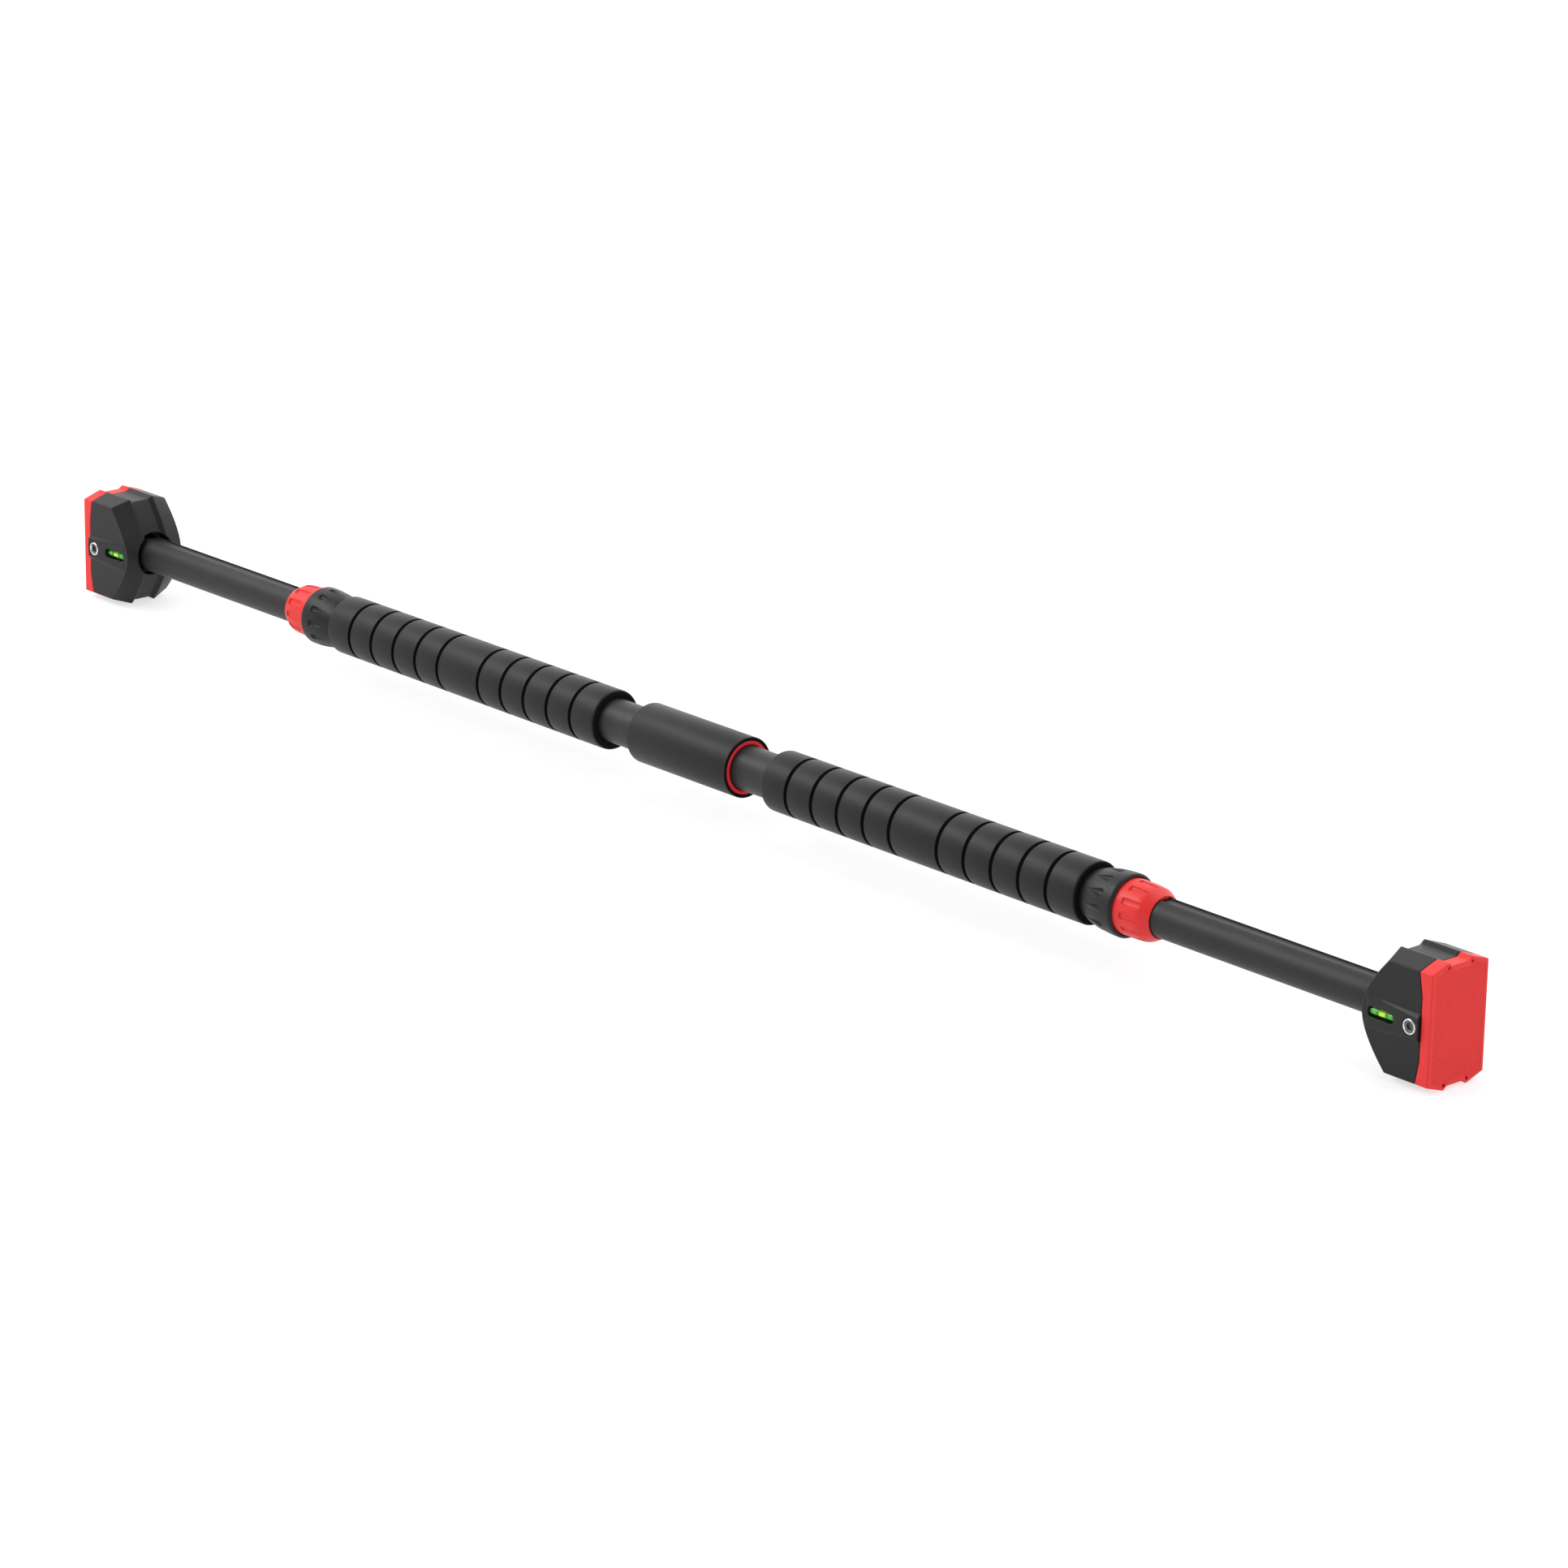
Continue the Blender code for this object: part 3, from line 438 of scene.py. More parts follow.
def head_points():
    """Points in depth, Y and Z and quads of a head."""
    d, across, high = sampled(*HEAD_BOX, HEAD_STEP)
    y, z = np.abs(across), np.abs(high)
    inner = unit(d - inner_face(y, z), HEAD_STEP)
    skin = meet(roof_field(y, z), inner, SOFT_EDGE) + channel(y)
    body = meet(skin, y - HEAD_WIDTH, SOFT_EDGE)
    joint = unit(joint_depth(z, roof(y)) + GAP - d, HEAD_STEP)
    band = meet(band_field(d, y, z), inner, 0.5)
    body = meet(blend_in(body, band, 0.25), joint, 0.4)
    around = np.sqrt(across ** 2 + high ** 2)
    body = cut(body, np.maximum(around - MOUTH_RADIUS, MOUTH_DEPTH - d), 0.8)
    body = cut(body, around - TUBE_HOLE, 0.3)
    seat = np.maximum(np.abs(across) - SEAT_HALF_WIDTH, np.abs(high) - SEAT_HALF_HEIGHT)
    body = cut(body, np.maximum(seat, d - SEAT_FLOOR), 0.2)
    length = np.maximum(np.abs(d - VIAL_DEPTH) - WINDOW_HALF, 0)
    window = np.sqrt(length ** 2 + high ** 2) - WINDOW_RADIUS
    body = cut(body, np.maximum(window, across + WINDOW_FLOOR), 0.45)
    bolt = np.sqrt((d - BOLT_DEPTH) ** 2 + high ** 2) - BOLT_HOLE
    body = cut(body, np.maximum(bolt, BOLT_FLOOR - y), 0.25)
    return surface_nets(body, HEAD_BOX[0], HEAD_STEP)


def pad_points():
    """Points in depth, Y and Z and quads of a pad, with ribs across its face."""
    d, across, high = sampled(*PAD_BOX, PAD_STEP)
    y, z = np.abs(across), np.abs(high)
    outline = meet(roof_field(y, z) + channel(y), y - HEAD_WIDTH, SOFT_EDGE)
    joint = unit(d - joint_depth(z, roof(y)), PAD_STEP)
    border = np.clip((-RIB_BORDER - outline) / RIB_FADE, 0, 1)
    ribs = RIB_DEPTH * border * (0.5 - 0.5 * np.cos(2 * math.pi * high / RIB_PITCH))
    face = ribs - d
    body = meet(meet(outline, face, 1.0), joint, 0.45)
    holes = np.sqrt((y - PEG_Y) ** 2 + (z - PEG_Z) ** 2) - PEG_HOLE
    return surface_nets(cut(body, holes, 0.15), PAD_BOX[0], PAD_STEP)


# ---- materials ----
class Nodes:
    """A procedural material under construction."""

    def __init__(self, name):
        self.material = bpy.data.materials.new(name)
        self.material.use_nodes = True
        self.tree = self.material.node_tree
        self.shader = self.tree.nodes["Principled BSDF"]
        self.coords = self.tree.nodes.new("ShaderNodeTexCoord").outputs["Object"]

    def new(self, kind, **settings):
        node = self.tree.nodes.new(kind)
        for key, value in settings.items():
            if key in node.inputs:
                node.inputs[key].default_value = value
            else:
                setattr(node, key, value)
        return node

    def link(self, source, target):
        self.tree.links.new(source, target)

    def noise(self, scale, detail=4.0, roughness=0.6):
        node = self.new("ShaderNodeTexNoise", Scale=scale, Detail=detail, Roughness=roughness)
        self.link(self.coords, node.inputs["Vector"])
        return node.outputs["Fac"]

    def spread(self, value, low, high, start=0.3, end=0.7):
        """The value's range from start to end laid out from low to high."""
        node = self.new("ShaderNodeMapRange")
        for socket, number in zip(("From Min", "From Max", "To Min", "To Max"),
                                  (start, end, low, high)):
            node.inputs[socket].default_value = number
        self.link(value, node.inputs["Value"])
        return node.outputs["Result"]

    def mixed(self, factor, first, second):
        """Colour between the two, by the factor."""
        node = self.new("ShaderNodeMix", data_type="RGBA")
        node.inputs[6].default_value = (*first, 1.0)
        node.inputs[7].default_value = (*second, 1.0)
        self.link(factor, node.inputs[0])
        return node.outputs[2]

    def away_from(self, x):
        """Distance along X from a place given in millimetres."""
        split = self.new("ShaderNodeSeparateXYZ")
        self.link(self.coords, split.inputs[0])
        away = self.new("ShaderNodeMath", operation="SUBTRACT")
        away.inputs[1].default_value = x * MM
        self.link(split.outputs["X"], away.inputs[0])
        far = self.new("ShaderNodeMath", operation="ABSOLUTE")
        self.link(away.outputs[0], far.inputs[0])
        return far.outputs[0]

    def bump(self, *layers):
        """Layers of (height, strength, distance), finest last."""
        normal = None
        for height, strength, distance in layers:
            node = self.new("ShaderNodeBump", Strength=strength, Distance=distance)
            self.link(height, node.inputs["Height"])
            if normal is not None:
                self.link(normal, node.inputs["Normal"])
            normal = node.outputs["Normal"]
        self.link(normal, self.shader.inputs["Normal"])

    def set(self, **values):
        for key, value in values.items():
            self.shader.inputs[key.replace("_", " ")].default_value = value


def textured(name, dark, light, rough, grain, strength, distance, **values):
    """A surface with a fine moulded or sprayed grain and slow changes of tone."""
    n = Nodes(name)
    n.set(**values)
    slow = n.noise(grain * 0.03, detail=3.0)
    fine = n.noise(grain, detail=5.0, roughness=0.7)
    tone = n.new("ShaderNodeMath", operation="ADD")
    half = n.new("ShaderNodeMath", operation="MULTIPLY")
    half.inputs[1].default_value = 0.35
    n.link(slow, half.inputs[0])
    n.link(half.outputs[0], tone.inputs[0])
    n.link(fine, tone.inputs[1])
    n.link(n.mixed(n.spread(tone.outputs[0], 0.0, 1.0, 0.42, 0.95), dark, light),
           n.shader.inputs["Base Color"])
    n.link(n.spread(fine, *rough), n.shader.inputs["Roughness"])
    n.bump((slow, 0.05, 0.0004), (fine, strength, distance))
    return n.material


MATERIALS = {
    "painted_tube": textured("tube_paint", (0.012, 0.0123, 0.0133), (0.036, 0.037, 0.039),
                             (0.36, 0.52), 2200.0, 0.35, 0.0003,
                             Metallic=0.25, Specular_IOR_Level=0.30),
    "coated_tube": textured("powder_coat", (0.005, 0.005, 0.0055), (0.020, 0.020, 0.021),
                            (0.34, 0.55), 2200.0, 0.45, 0.0003, Specular_IOR_Level=0.28),
    "grip_foam": textured("foam_skin", (0.005, 0.005, 0.0052), (0.012, 0.012, 0.0123),
                          (0.40, 0.56), 1600.0, 0.25, 0.0002, Specular_IOR_Level=0.23,
                          Sheen_Weight=0.06, Sheen_Roughness=0.35),
    # Darker, duller foam: the foam's own colour on cut ends, painted shade down the grooves.
    "cut_foam_and_groove_shade": textured("cut_foam_and_groove_shade", (0.0035, 0.0035, 0.0035), (0.007, 0.007, 0.007),
                         (0.85, 1.0), 2000.0, 0.5, 0.0003, Specular_IOR_Level=0.08),
    "core_foam": textured("core_foam", (0.60, 0.020, 0.030), (0.76, 0.034, 0.044),
                          (0.60, 0.85), 1800.0, 0.30, 0.0003, Specular_IOR_Level=0.15),
    "black_plastic": textured("black_plastic", (0.0035, 0.0035, 0.0037), (0.011, 0.011, 0.0115),
                              (0.34, 0.50), 2400.0, 0.40, 0.0002, Specular_IOR_Level=0.27),
    "red_plastic": textured("red_plastic", (0.60, 0.021, 0.020), (0.69, 0.028, 0.026),
                            (0.34, 0.48), 900.0, 0.08, 0.0002, Specular_IOR_Level=0.27),
    "red_rubber": textured("red_rubber", (0.64, 0.024, 0.023), (0.74, 0.032, 0.030),
                           (0.42, 0.56), 1300.0, 0.12, 0.0002, Specular_IOR_Level=0.27),
    "bright_steel": textured("bright_steel", (0.55, 0.55, 0.56), (0.80, 0.80, 0.81),
                             (0.12, 0.28), 600.0, 0.06, 0.0001, Metallic=1.0),
    "dull_steel": textured("dull_steel", (0.10, 0.10, 0.105), (0.22, 0.22, 0.23),
                           (0.40, 0.60), 900.0, 0.15, 0.0001, Metallic=0.9),
    "dark_steel": textured("dark_steel", (0.05, 0.05, 0.052), (0.14, 0.14, 0.145),
                           (0.35, 0.55), 900.0, 0.12, 0.0001, Metallic=0.9),
    "white_plastic": textured("white_plastic", (0.42, 0.42, 0.41), (0.58, 0.58, 0.57),
                              (0.40, 0.55), 900.0, 0.10, 0.0002, Specular_IOR_Level=0.40),
}


def vial_liquid_material(centre):
    """Green liquid with painted light and shade: dark at both ends, yellower towards the bubble,
    and a painted glow.
    """
    n = Nodes("vial_liquid")
    far = n.away_from(centre)
    painted_light_ramp = n.new("ShaderNodeValToRGB")
    stops = painted_light_ramp.color_ramp.elements
    stops[0].position, stops[0].color = 0.0, (0.62, 0.95, 0.04, 1.0)
    stops[1].position, stops[1].color = 1.0, (0.003, 0.05, 0.004, 1.0)
    # The ramp holds the liquid's own green, with painted light and shade: bright yellow by the
    # bubble, darker towards both ends.
    for place, colour in ((0.22, (0.40, 0.85, 0.02)), (0.36, (0.015, 0.26, 0.006)),
                          (0.60, (0.06, 0.50, 0.01)), (0.85, (0.004, 0.10, 0.003))):
        stops.new(place).color = (*colour, 1.0)
    n.link(n.spread(far, 0.0, 1.0, 0.0, 0.0112), painted_light_ramp.inputs["Fac"])
    n.link(painted_light_ramp.outputs["Color"], n.shader.inputs["Base Color"])
    n.link(painted_light_ramp.outputs["Color"], n.shader.inputs["Emission Color"])
    n.link(n.spread(n.noise(300.0), 0.03, 0.08), n.shader.inputs["Roughness"])
    # Emission gives the liquid a painted glow, though it is no lamp.
    n.set(Specular_IOR_Level=0.5, Coat_Weight=0.4, Coat_Roughness=0.03, Emission_Strength=0.28)
    return n.material


def vial_glass_material(centre):
    """Clear tube with two printed lines: see-through, with a mirror-like surface."""
    n = Nodes("vial_glass")
    line = n.new("ShaderNodeMath", operation="COMPARE")
    line.inputs[1].default_value = BUBBLE_HALF * MM
    line.inputs[2].default_value = 0.22 * MM
    n.link(n.away_from(centre), line.inputs[0])
    n.link(n.mixed(line.outputs[0], (0.06, 0.30, 0.05), (0.005, 0.01, 0.005)),
           n.shader.inputs["Base Color"])
    n.link(n.spread(line.outputs[0], 0.10, 0.90, 0.0, 1.0), n.shader.inputs["Alpha"])
    n.link(n.spread(n.noise(250.0), 0.02, 0.06), n.shader.inputs["Roughness"])
    n.set(Specular_IOR_Level=0.5, Coat_Weight=0.8, Coat_Roughness=0.02)
    return n.material


# ---- pieces of the main tube ----
AROUND = even(96)


def mirrored(stations):
    """Stations that end at the middle, carried on to the other side of it."""
    return stations + [(-x, r) for x, r in stations[::-1] if x != 0]


def paint_cut_ends_and_groove_shade(obj, is_cut_or_groove):
    """Faces that the test picks take the darker foam: its own colour on cut ends, painted shade in
    grooves.
    """
    obj.data.materials.append(MATERIALS["cut_foam_and_groove_shade"])
    for face in obj.data.polygons:
        reach = abs(face.center.x / MM - MIDDLE)
        if is_cut_or_groove(reach, math.hypot(face.center.y, face.center.z) / MM):
            face.material_index = 1


def make_main_tube():
    chamfer = 0.5
    half = [(-MAIN_HALF, MAIN_BORE + chamfer), (-MAIN_HALF, MAIN_RADIUS - chamfer),
            (-MAIN_HALF + chamfer, MAIN_RADIUS)]
    outer = half + [(-x, r) for x, r in half[::-1]]
    inner = [(MAIN_HALF - chamfer, MAIN_BORE), (-MAIN_HALF + chamfer, MAIN_BORE)]
    mesh = revolve("tube_main", outer + inner, AROUND, along(1))
    add_mesh("tube_main", mesh, "main", ["main_tube"],
             MATERIALS["painted_tube"])


def groove(u):
    """Stations across one groove cut in a grip, with soft lips."""
    r, w, deep = GRIP_RADIUS, GROOVE_HALF, GRIP_RADIUS - GROOVE_DEPTH
    half = [(-w - 0.6, r), (-w - 0.25, r - 0.05), (-w - 0.05, r - 0.3), (-w + 0.05, r - 0.9),
            (-w + 0.2, deep + 0.35), (-w + 0.6, deep), (0.0, deep)]
    return [(u + x, radius) for x, radius in mirrored(half)]


def make_grip(name, side):
    """Foam grip with two groups of grooves."""
    bore, r = MAIN_RADIUS + GAP, GRIP_RADIUS
    first = [GRIP_START + GROOVE_PITCH * (i + 1) for i in range(GROOVES)]
    last = [GRIP_END - GROOVE_PITCH * (i + 1) for i in range(GROOVES)]
    stations = [(GRIP_START + 0.3, bore), (GRIP_START, bore + 0.4)]
    stations += arc(GRIP_START + 2.4, r - 2.4, 2.4, 180, 90, 6)
    for place in first + last[::-1]:
        stations += groove(place)
    stations += arc(GRIP_END - 1.2, r - 1.2, 1.2, 90, 0, 5)
    stations += [(GRIP_END, GRIP_SOCKET), (COLLAR_START - GAP, GRIP_SOCKET),
                 (COLLAR_START - GAP, bore)]
    mesh = revolve("foam_grip_" + name, stations, AROUND, along(side))
    grip = add_mesh("foam_grip_" + name, mesh, "main", ["grip_" + name],
                    MATERIALS["grip_foam"])

    def is_cut_or_groove(reach, radius):
        """Whether a face lies in a groove or on a cut end."""
        grooved = GRIP_START + 5.0 < reach < GRIP_END - 4.0
        return radius < r - (0.25 if grooved else 0.7)

    # Grooves get painted shade; cut ends get the darker cut foam.
    paint_cut_ends_and_groove_shade(grip, is_cut_or_groove)


def make_sleeve():
    """The foam sleeve in the middle: black skin over a red core."""
    half, r = SLEEVE_HALF, GRIP_RADIUS
    skin = arc(-half + 1.0, r - 1.0, 1.0, 180, 90) + arc(half - 1.0, r - 1.0, 1.0, 90, 0)
    skin += [(half, SLEEVE_SPLIT + 0.2), (half - 0.2, SLEEVE_SPLIT)]
    skin += [(-half + 0.2, SLEEVE_SPLIT), (-half, SLEEVE_SPLIT + 0.2)]
    mesh = revolve("foam_sleeve", skin, AROUND, along(1))
    sleeve = add_mesh("foam_sleeve", mesh, "main", ["sleeve_skin"],
                      MATERIALS["grip_foam"])
    paint_cut_ends_and_groove_shade(sleeve, lambda reach, radius: radius < r - 0.4)
    top, low, edge = SLEEVE_SPLIT - 0.3, MAIN_RADIUS + 0.4, half - 0.1
    core = arc(-edge + 0.6, top - 0.6, 0.6, 180, 90) + arc(edge - 0.6, top - 0.6, 0.6, 90, 0)
    core += arc(edge - 0.6, low + 0.6, 0.6, 0, -90) + arc(-edge + 0.6, low + 0.6, 0.6, 270, 180)
    mesh = revolve("foam_core", core, AROUND, along(1))
    core_piece = add_mesh("foam_core", mesh, "main", ["sleeve_core"],
                          MATERIALS["core_foam"])


def toothed(first, last, tip, root):
    """Radius of a toothed ring; the angles are where a tooth starts and ends in its pitch."""
    return lambda angle: tip if first <= angle % PITCH <= last else root


def collar_radius(u):
    """Smooth curve through the points of the collar's profile."""
    us = [p[0] for p in COLLAR_CURVE]
    rs = [p[1] for p in COLLAR_CURVE]
    if u <= us[0]:
        return rs[0]
    i = max(k for k in range(len(us) - 1) if us[k] <= u)
    slope = [(rs[min(k + 1, len(us) - 1)] - rs[max(k - 1, 0)])
             / (us[min(k + 1, len(us) - 1)] - us[max(k - 1, 0)]) for k in (i, i + 1)]
    h = us[i + 1] - us[i]
    t = (u - us[i]) / h
    return ((2 * t ** 3 - 3 * t ** 2 + 1) * rs[i] + (t ** 3 - 2 * t ** 2 + t) * h * slope[0]
            + (3 * t ** 2 - 2 * t ** 3) * rs[i + 1] + (t ** 3 - t ** 2) * h * slope[1])


def make_collar(name, side):
    """Black collar on the end of the main tube, with drops sunk in it and teeth inside."""
    place = along(side)
    bm = bmesh.new()
    drop = teardrop(DROP_TIP, DROP_END, DROP_HALF)

    def sunk(share):
        """A share of the drop's depth, which grows away from its tip."""
        return lambda u: share * (DROP_DEPTH + DROP_GAIN * min(max((u - 402.0) / 12.0, 0.0), 1.0))

    profile = [(0.10, sunk(0.12)), (0.40, sunk(0.45)), (0.90, sunk(0.85)), (1.40, sunk(1.0))]
    recessed(bm, place, collar_radius, COLLAR_BAND, drop, profile, degrees_per_mm(21.2))
    before = [(COLLAR_START + 0.3, COLLAR_NECK - 0.3), (COLLAR_START + 0.6, COLLAR_NECK)]
    before += [(u, collar_radius(u)) for u in (396.0, 396.9, 397.7, 398.8, COLLAR_BAND[0])]
    before = shell(bm, before, AROUND, place)
    shoulder = arc(COLLAR_END - 2.2, COLLAR_RADIUS - 2.2, 2.2, 90, 25, 5)
    after = [(u, collar_radius(u)) for u in (COLLAR_BAND[1], 423.0, 424.5)]
    after = shell(bm, after + shoulder + [(COLLAR_END, COLLAR_MOUTH + 0.4)], AROUND, place)
    low, high = COLLAR_TEETH
    teeth = toothed(*COLLAR_TOOTH_TURN, COLLAR_TOOTH, COLLAR_MOUTH)
    cavity = COLLAR_MOUTH + 0.2
    inside = [(COLLAR_END - 0.4, COLLAR_MOUTH), (high + 0.3, COLLAR_MOUTH), (high, teeth),
              (low, teeth), (low, cavity), (low - 2.5, cavity), (low - 2.5, COLLAR_BORE),
              (COLLAR_START + 0.3, COLLAR_BORE)]
    inside = shell(bm, inside, AROUND, place)
    join(bm, after[1], inside[0])
    join(bm, inside[1], before[0])
    mesh = from_bmesh("collar_shell_" + name, merged(bm))
    add_mesh("collar_shell_" + name, mesh, "main", ["collar_" + name],
             MATERIALS["black_plastic"], sharp=40)


def ring_radius(u):
    """Radius of the lock ring's outside, which draws in towards its nose."""
    return float(np.interp(u, [425.0, 441.0, 447.0, 449.0, 450.3, 451.0],
                           [RING_RADIUS, 19.15, 18.85, 18.5, 18.05, 17.7]))


def make_lock_ring(name, side):
    """Red ring with recesses outside, teeth on its inner end and a key in its bore."""
    place = along(side)
    bm = bmesh.new()
    low, high = RING_BAND
    profile = [(0.06, 0.10), (0.22, 0.50), (0.40, 0.95), (0.70, 1.10)]
    recessed(bm, place, ring_radius, RING_BAND, rounded_slot(*RING_SLOT), profile,
             degrees_per_mm(19.1))
    teeth = toothed(*RING_TOOTH_TURN, RING_RADIUS, RING_TOOTH_ROOT)
    start = [(RING_START, teeth), (RING_TEETH_END, teeth), (RING_TEETH_END + 0.3, RING_RADIUS),
             (low, ring_radius(low))]
    before = shell(bm, start, AROUND, place)
    nose = [(high, ring_radius(high)), (455.9, 15.15), (456.6, 14.8), (RING_END, 14.5)]
    after = shell(bm, nose, AROUND, place)

    def keyed(angle):
        turn = (angle + 180.0) % 360.0 - 180.0
        return KEY_RADIUS if abs(turn) <= KEY_ANGLE + 0.2 else RUNNING_RADIUS

    # The points next to the key's corners are moved so that its flanks stand steep.
    shifted = {15.0: 14.9, 18.75: 15.6, 345.0: 345.1, 341.25: 344.4}
    angles = [shifted.get(a, a) for a in AROUND]
    inside = [(RING_END, keyed), (KEY_START, keyed), (KEY_START, RING_THROAT),
              (RING_START, RING_THROAT)]
    inside = shell(bm, inside, angles, place)
    join(bm, after[1], inside[0])
    join(bm, inside[1], before[0])
    mesh = from_bmesh("lock_collar_" + name, merged(bm))
    add_mesh("lock_collar_" + name, mesh, name + "_lock", ["lock_ring_" + name],
             MATERIALS["red_plastic"], sharp=40)


# ---- pieces that slide with the ends ----
def keyway_outline():
    """Outline of the inner tube in Y and Z, with rounded keyway edges."""
    wall = TUBE_RADIUS * math.sin(math.radians(TUBE_SLOT))
    start = TUBE_SLOT + 1.2
    arc_points = [(TUBE_RADIUS * math.sin(math.radians(a)), TUBE_RADIUS * math.cos(math.radians(a)))
                  for a in np.linspace(start, 360 - start, 91)]
    lip = TUBE_RADIUS * math.cos(math.radians(TUBE_SLOT))
    edge = [(0.0, TUBE_FLOOR), (wall - 0.35, TUBE_FLOOR), (wall - 0.08, TUBE_FLOOR + 0.1),
            (wall, TUBE_FLOOR + 0.35), (wall + 0.02, lip - 0.18), (wall + 0.12, lip - 0.05)]
    return edge + arc_points + [(-y, z) for y, z in edge[:0:-1]]


def make_inner_tube(name, side):
    """Sliding tube with a keyway along its top."""
    outer = keyway_outline()
    inner = []
    for y, z in outer:
        angle = math.atan2(y, z)
        limit = TUBE_BORE
        if abs(angle) < 1.0:
            limit = min(limit, TUBE_BORE_TOP / math.cos(angle))
        inner.append((limit * math.sin(angle), limit * math.cos(angle)))
    bm = bmesh.new()
    ends = (side * (FACE - TUBE_DEPTH), side * (FACE - TUBE_DEPTH - TUBE_LENGTH))
    rings = []
    for loop, x in ((outer, ends[0]), (outer, ends[1]), (inner, ends[1]), (inner, ends[0])):
        rings.append([bm.verts.new((x, y, z)) for y, z in loop])
    for first, second in zip(rings, rings[1:] + rings[:1]):
        join(bm, first, second)
    mesh = from_bmesh("tube_inner_" + name, bm)
    add_mesh("tube_inner_" + name, mesh, name + "_end", ["inner_tube_" + name],
             MATERIALS["coated_tube"], sharp=50)


def thin_out(obj, share):
    """Fewer faces where the surface is plain."""
    modifier = obj.modifiers.new("thin", "DECIMATE")
    modifier.ratio = share
    graph = bpy.context.evaluated_depsgraph_get()
    mesh = bpy.data.meshes.new_from_object(obj.evaluated_get(graph))
    obj.modifiers.clear()
    old = obj.data
    obj.data = mesh
    bpy.data.meshes.remove(old)
    mesh.shade_smooth()


def make_head(name, side, points, quads):
    mesh = field_mesh("head_shell_" + name, points, quads, side)
    head = add_mesh("head_shell_" + name, mesh, name + "_end",
                    ["head_housing_" + name], MATERIALS["black_plastic"], sharp=180)
    thin_out(head, HEAD_SHARE)


def make_pad(name, side, points, quads):
    mesh = field_mesh("rubber_pad_" + name, points, quads, side)
    pad = add_mesh("rubber_pad_" + name, mesh, name + "_end", ["pad_" + name],
                   MATERIALS["red_rubber"], sharp=180)
    thin_out(pad, PAD_SHARE)


def turned_across(name, depth, side, stations, way):
    """Body of revolution about a line along Y; stations are (distance out from the middle, r)."""
    bm = bmesh.new()
    centre = side * (FACE - depth)
    rings = []
    for y, radius in stations:
        ring = []
        for angle in even(48):
            r = radius(angle) if callable(radius) else radius
            turn = math.radians(angle)
            ring.append(bm.verts.new((centre + r * math.cos(turn), way * y, r * math.sin(turn))))
        rings.append(ring)
    for first, second in zip(rings, rings[1:]):
        join(bm, first, second)
    bm.faces.new(rings[0])
    bm.faces.new(rings[-1])
    return from_bmesh(name, bm)


def hexagon(size):
    """Radius of a hexagon of that half width across its flats."""
    return lambda angle: size / math.cos(math.radians((angle % 60.0) - 30.0))


def socket_head():
    """Stations of a bolt's outer end: hexagon, recessed disc and raised rim."""
    low = BOLT_FACE - SOCKET_DEPTH
    socket = [(low - HEXAGON_DEPTH, 0.6), (low - HEXAGON_DEPTH + 0.4, hexagon(HEXAGON)),
              (low - 0.2, hexagon(HEXAGON)), (low, hexagon(HEXAGON + 0.2)),
              (low, SOCKET_RADIUS - 0.2)]
    rim = [(BOLT_FACE - 0.2, SOCKET_RADIUS), (BOLT_FACE, SOCKET_RADIUS + 0.15), (BOLT_FACE, 4.75),
           (BOLT_FACE - 0.15, 5.05), (BOLT_FACE - 0.5, 5.25), (BOLT_FACE - 0.9, 5.3),
           (BOLT_SEAT, 5.3)]
    return socket + rim


def darken_socket(obj):
    """The recessed middle of a bolt's end is coloured darker and duller than its rim."""
    obj.data.materials.append(MATERIALS["dull_steel"])
    points = [v.co for v in obj.data.vertices]
    middle = (min(p.x for p in points) + max(p.x for p in points)) / 2
    for face in obj.data.polygons:
        away = max(math.hypot(points[i].x - middle, points[i].z) for i in face.vertices)
        outside = abs(face.center.y) > BOLT_SEAT * MM
        if outside and away < (SOCKET_RADIUS - 0.1) * MM:
            face.material_index = 1


def make_bolt(name, side):
    """Bolt through the head from the front, and its nut at the back."""
    bolt = socket_head() + [(BOLT_SEAT, BOLT_SHANK), (-23.9, BOLT_SHANK), (-24.4, 2.5)]
    mesh = turned_across("bolt_" + name, BOLT_DEPTH, side, bolt, -1)
    darken_socket(add_mesh("bolt_" + name, mesh, name + "_end",
                           ["cross_bolt_" + name], MATERIALS["bright_steel"]))
    nut = socket_head() + [(BOLT_SEAT, NUT_BARREL), (24.6, NUT_BARREL), (24.6, BOLT_SHANK + GAP)]
    mesh = turned_across("bolt_nut_" + name, BOLT_DEPTH, side, nut, 1)
    darken_socket(add_mesh("bolt_nut_" + name, mesh, name + "_end",
                           ["barrel_nut_" + name], MATERIALS["bright_steel"]))


def make_pegs(name, side):
    """Four pegs that hold the pad, sunk in its holes."""
    def place(depth):
        return side * (FACE - depth)
    stations = [(PEG_START, 0.5), (PEG_START + 0.3, PEG_RADIUS), (PEG_END - 0.3, PEG_RADIUS),
                (PEG_END, 0.6)]
    for row, z in (("top", PEG_Z), ("bottom", -PEG_Z)):
        for part, y in (("front", -PEG_Y), ("back", PEG_Y)):
            bm = bmesh.new()
            first, last = shell(bm, stations, even(16), place)
            bm.faces.new(first)
            bm.faces.new(last)
            label = row + "_" + part + "_" + name
            mesh = from_bmesh("peg_" + label, bm)
            mesh.transform(Matrix.Translation((0, y * MM, z * MM)))
            add_mesh("peg_" + label, mesh, name + "_end", ["pad_peg_" + label],
                     MATERIALS["dark_steel"])


def bubble_surface(x):
    """Radius of the liquid at a place along the vial, with the bubble's hollow on top."""
    def radius(angle):
        turn = abs((angle + 180.0) % 360.0 - 180.0)
        near = max(0.0, 1 - (x / BUBBLE_HALF) ** 2) ** 0.5
        around = max(0.0, 1 - (turn / BUBBLE_ANGLE) ** 2) ** 0.5
        return FILL_RADIUS - BUBBLE_DEPTH * near * around
    return radius


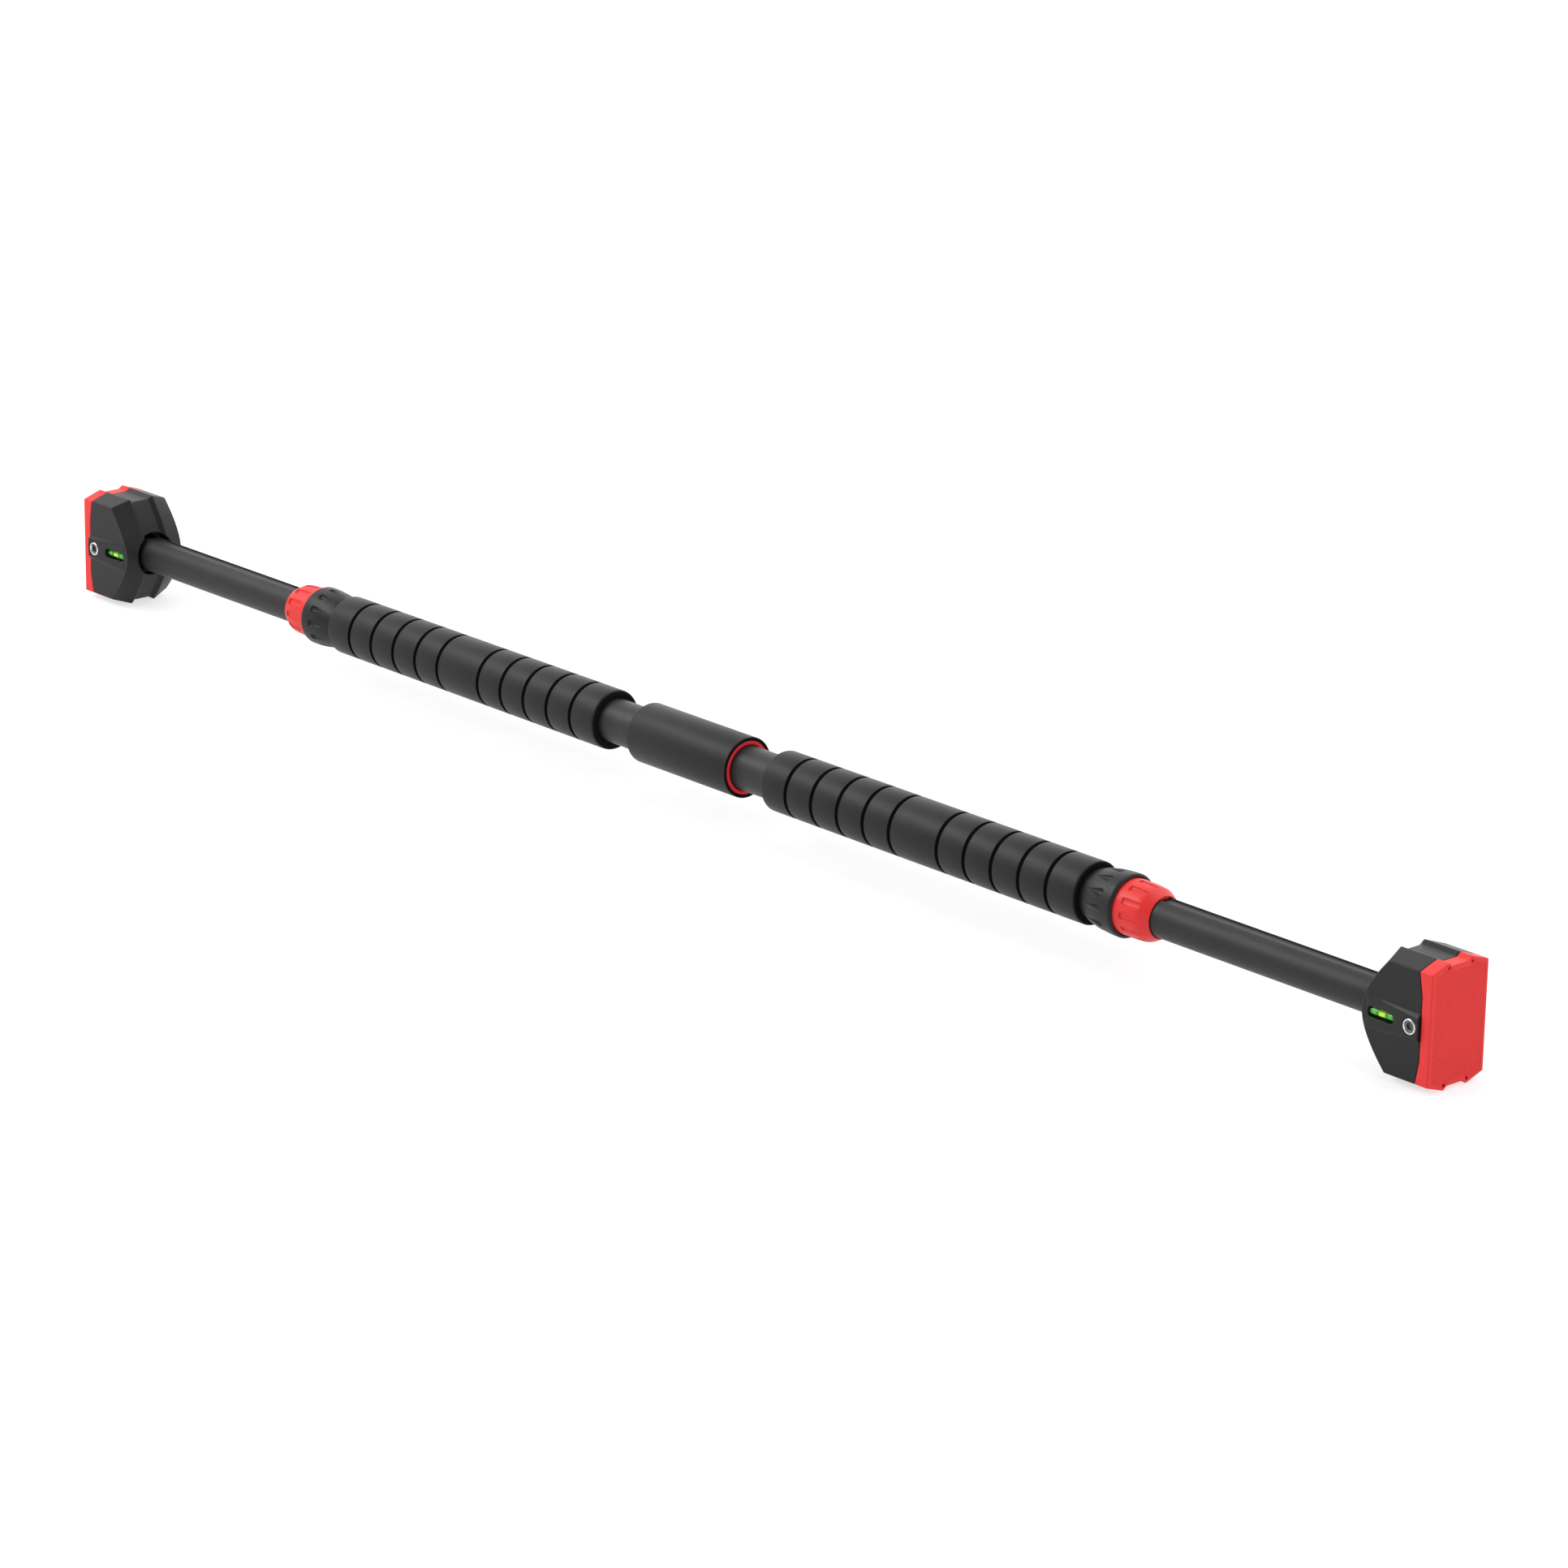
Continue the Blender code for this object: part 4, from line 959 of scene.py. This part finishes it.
def make_vial(name, side):
    """Level vial at the front of a head: tube, liquid with a bubble, and plug."""
    centre = side * (FACE - VIAL_DEPTH)
    body = name + "_end"

    def place(x):
        return centre + x

    def lathed(stem, stations):
        bm = bmesh.new()
        first, last = shell(bm, stations, even(48), place)
        bm.faces.new(first)
        bm.faces.new(last)
        mesh = from_bmesh(stem + name, bm)
        mesh.transform(Matrix.Translation((0, VIAL_Y * MM, 0)))
        return mesh

    half, end, r = VIAL_DOMED_END, VIAL_OPEN_END, VIAL_RADIUS
    outer = arc(-half + 1.4, r - 1.4, 1.4, 180, 90, 6) + arc(end - 0.4, r - 0.4, 0.4, 90, 0, 3)
    inner = [(end, VIAL_BORE), (-half + 1.0, VIAL_BORE), (-half + 0.6, 2.0)]
    add_mesh("vial_tube_" + name, lathed("vial_tube_", outer + inner), body,
             ["vial_glass_" + name], vial_glass_material(centre))
    filling = [(x, bubble_surface(x)) for x in np.linspace(FILL_START, FILL_END, 67)]
    green = vial_liquid_material(centre)
    add_mesh("vial_fill_" + name, lathed("vial_fill_", filling), body,
             ["vial_liquid_" + name], green, sharp=60)
    # The plug takes the liquid's material, with its painted shade and glow.
    cap = [(9.4, 2.2), (9.6, 2.4), (end + 0.05, 2.4), (end + 0.05, 2.9), (half, 2.9),
           (half + 0.15, 2.5)]
    add_mesh("vial_plug_" + name, lathed("vial_plug_", cap), body,
             ["vial_cap_" + name], green)


# ---- CAD pieces that stay, with finished materials ----
def finish_cad_nodes():
    kept = {"dark_steel": ["collar_rivet_front_", "collar_rivet_back_", "spindle_anchor_",
                           "spindle_stop_", "thrust_plate_"],
            "bright_steel": ["spindle_", "anchor_pin_", "drive_nut_"],
            "white_plastic": ["guide_bush_", "slide_shoe_"],
            "black_plastic": ["tube_plug_"]}
    for finish, stems in kept.items():
        for stem in stems:
            for name in SIDES:
                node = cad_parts[stem + name]
                for place in node.material_slots:
                    place.material = MATERIALS[finish]


# ---- light, floor and camera ----
def add_floor():
    """Pale paper just under the bar."""
    mesh = bpy.data.meshes.new("floor")
    low = CAD_BOX[0][2] - 0.0002
    corners = [(-9, -9, low), (9, -9, low), (9, 9, low), (-9, 9, low)]
    mesh.from_pydata(corners, [], [(0, 1, 2, 3)])
    floor = bpy.data.objects.new("floor", mesh)
    bpy.context.collection.objects.link(floor)
    mesh.materials.append(textured("floor_paper", (0.33, 0.33, 0.33), (0.37, 0.37, 0.37),
                                   (0.85, 0.95), 40.0, 0.02, 0.0002, Specular_IOR_Level=0.0,
                                   Emission_Color=(1.0, 1.0, 1.0, 1.0),
                                   Emission_Strength=FLOOR_GLOW))


def add_light(name, place, size, power):
    """A rectangular lamp that faces the middle of the bar."""
    data = bpy.data.lights.new(name, "AREA")
    data.shape = "RECTANGLE"
    data.size, data.size_y = size
    data.energy = power
    light = bpy.data.objects.new(name, data)
    bpy.context.collection.objects.link(light)
    light.location = place
    light.rotation_euler = (-Vector(place)).to_track_quat("-Z", "Y").to_euler()


def view_axis():
    """Direction from the bar to the camera."""
    az, el = math.radians(AZIMUTH), math.radians(ELEVATION)
    return Vector((math.sin(az) * math.cos(el), -math.cos(az) * math.cos(el), math.sin(el)))


def add_room():
    """A white room, bright behind the bar and dimmer behind the camera."""
    world = bpy.data.worlds.new("studio")
    bpy.context.scene.world = world
    world.use_nodes = True
    tree = world.node_tree
    coords = tree.nodes.new("ShaderNodeTexCoord")
    toward = tree.nodes.new("ShaderNodeVectorMath")
    toward.operation = "DOT_PRODUCT"
    toward.inputs[1].default_value = view_axis()
    strength = tree.nodes.new("ShaderNodeMapRange")
    strength.inputs["From Min"].default_value = -1.0
    strength.inputs["To Min"].default_value = ROOM_FAR
    strength.inputs["To Max"].default_value = ROOM_NEAR
    background = tree.nodes["Background"]
    background.inputs["Color"].default_value = (1.0, 1.0, 1.0, 1.0)
    tree.links.new(coords.outputs["Generated"], toward.inputs[0])
    tree.links.new(toward.outputs["Value"], strength.inputs["Value"])
    tree.links.new(strength.outputs["Result"], background.inputs["Strength"])


def add_lights():
    add_light("key", (-1.4, -1.6, 1.9), (2.8, 0.6), 54.0)
    add_light("side", (2.6, -0.6, 0.9), (1.6, 1.2), 10.0)
    add_light("top", (0.6, 1.1, 2.3), (3.4, 1.8), 26.0)


def add_camera():
    roll = math.radians(ROLL)
    back = view_axis()
    right = Vector((0, 0, 1)).cross(back).normalized()
    up = back.cross(right)
    turned_right = math.cos(roll) * right + math.sin(roll) * up
    turned_up = math.cos(roll) * up - math.sin(roll) * right
    data = bpy.data.cameras.new("camera")
    data.sensor_width = 36.0
    data.lens = LENS
    data.clip_start, data.clip_end = 0.1, 50.0
    camera = bpy.data.objects.new("camera", data)
    bpy.context.collection.objects.link(camera)
    basis = Matrix((turned_right, turned_up, back)).transposed()
    camera.matrix_world = Matrix.Translation(TARGET + back * DISTANCE) @ basis.to_4x4()
    bpy.context.scene.camera = camera


add_camera()
add_room()
add_lights()
add_floor()
make_main_tube()
make_sleeve()
HEAD = head_points()
PAD = pad_points()
for NAME, SIDE in SIDES.items():
    make_grip(NAME, SIDE)
    make_collar(NAME, SIDE)
    make_lock_ring(NAME, SIDE)
    make_inner_tube(NAME, SIDE)
    make_head(NAME, SIDE, *HEAD)
    make_pad(NAME, SIDE, *PAD)
    make_bolt(NAME, SIDE)
    make_pegs(NAME, SIDE)
    make_vial(NAME, SIDE)
finish_cad_nodes()
bpy.context.scene.view_settings.view_transform = "Standard"
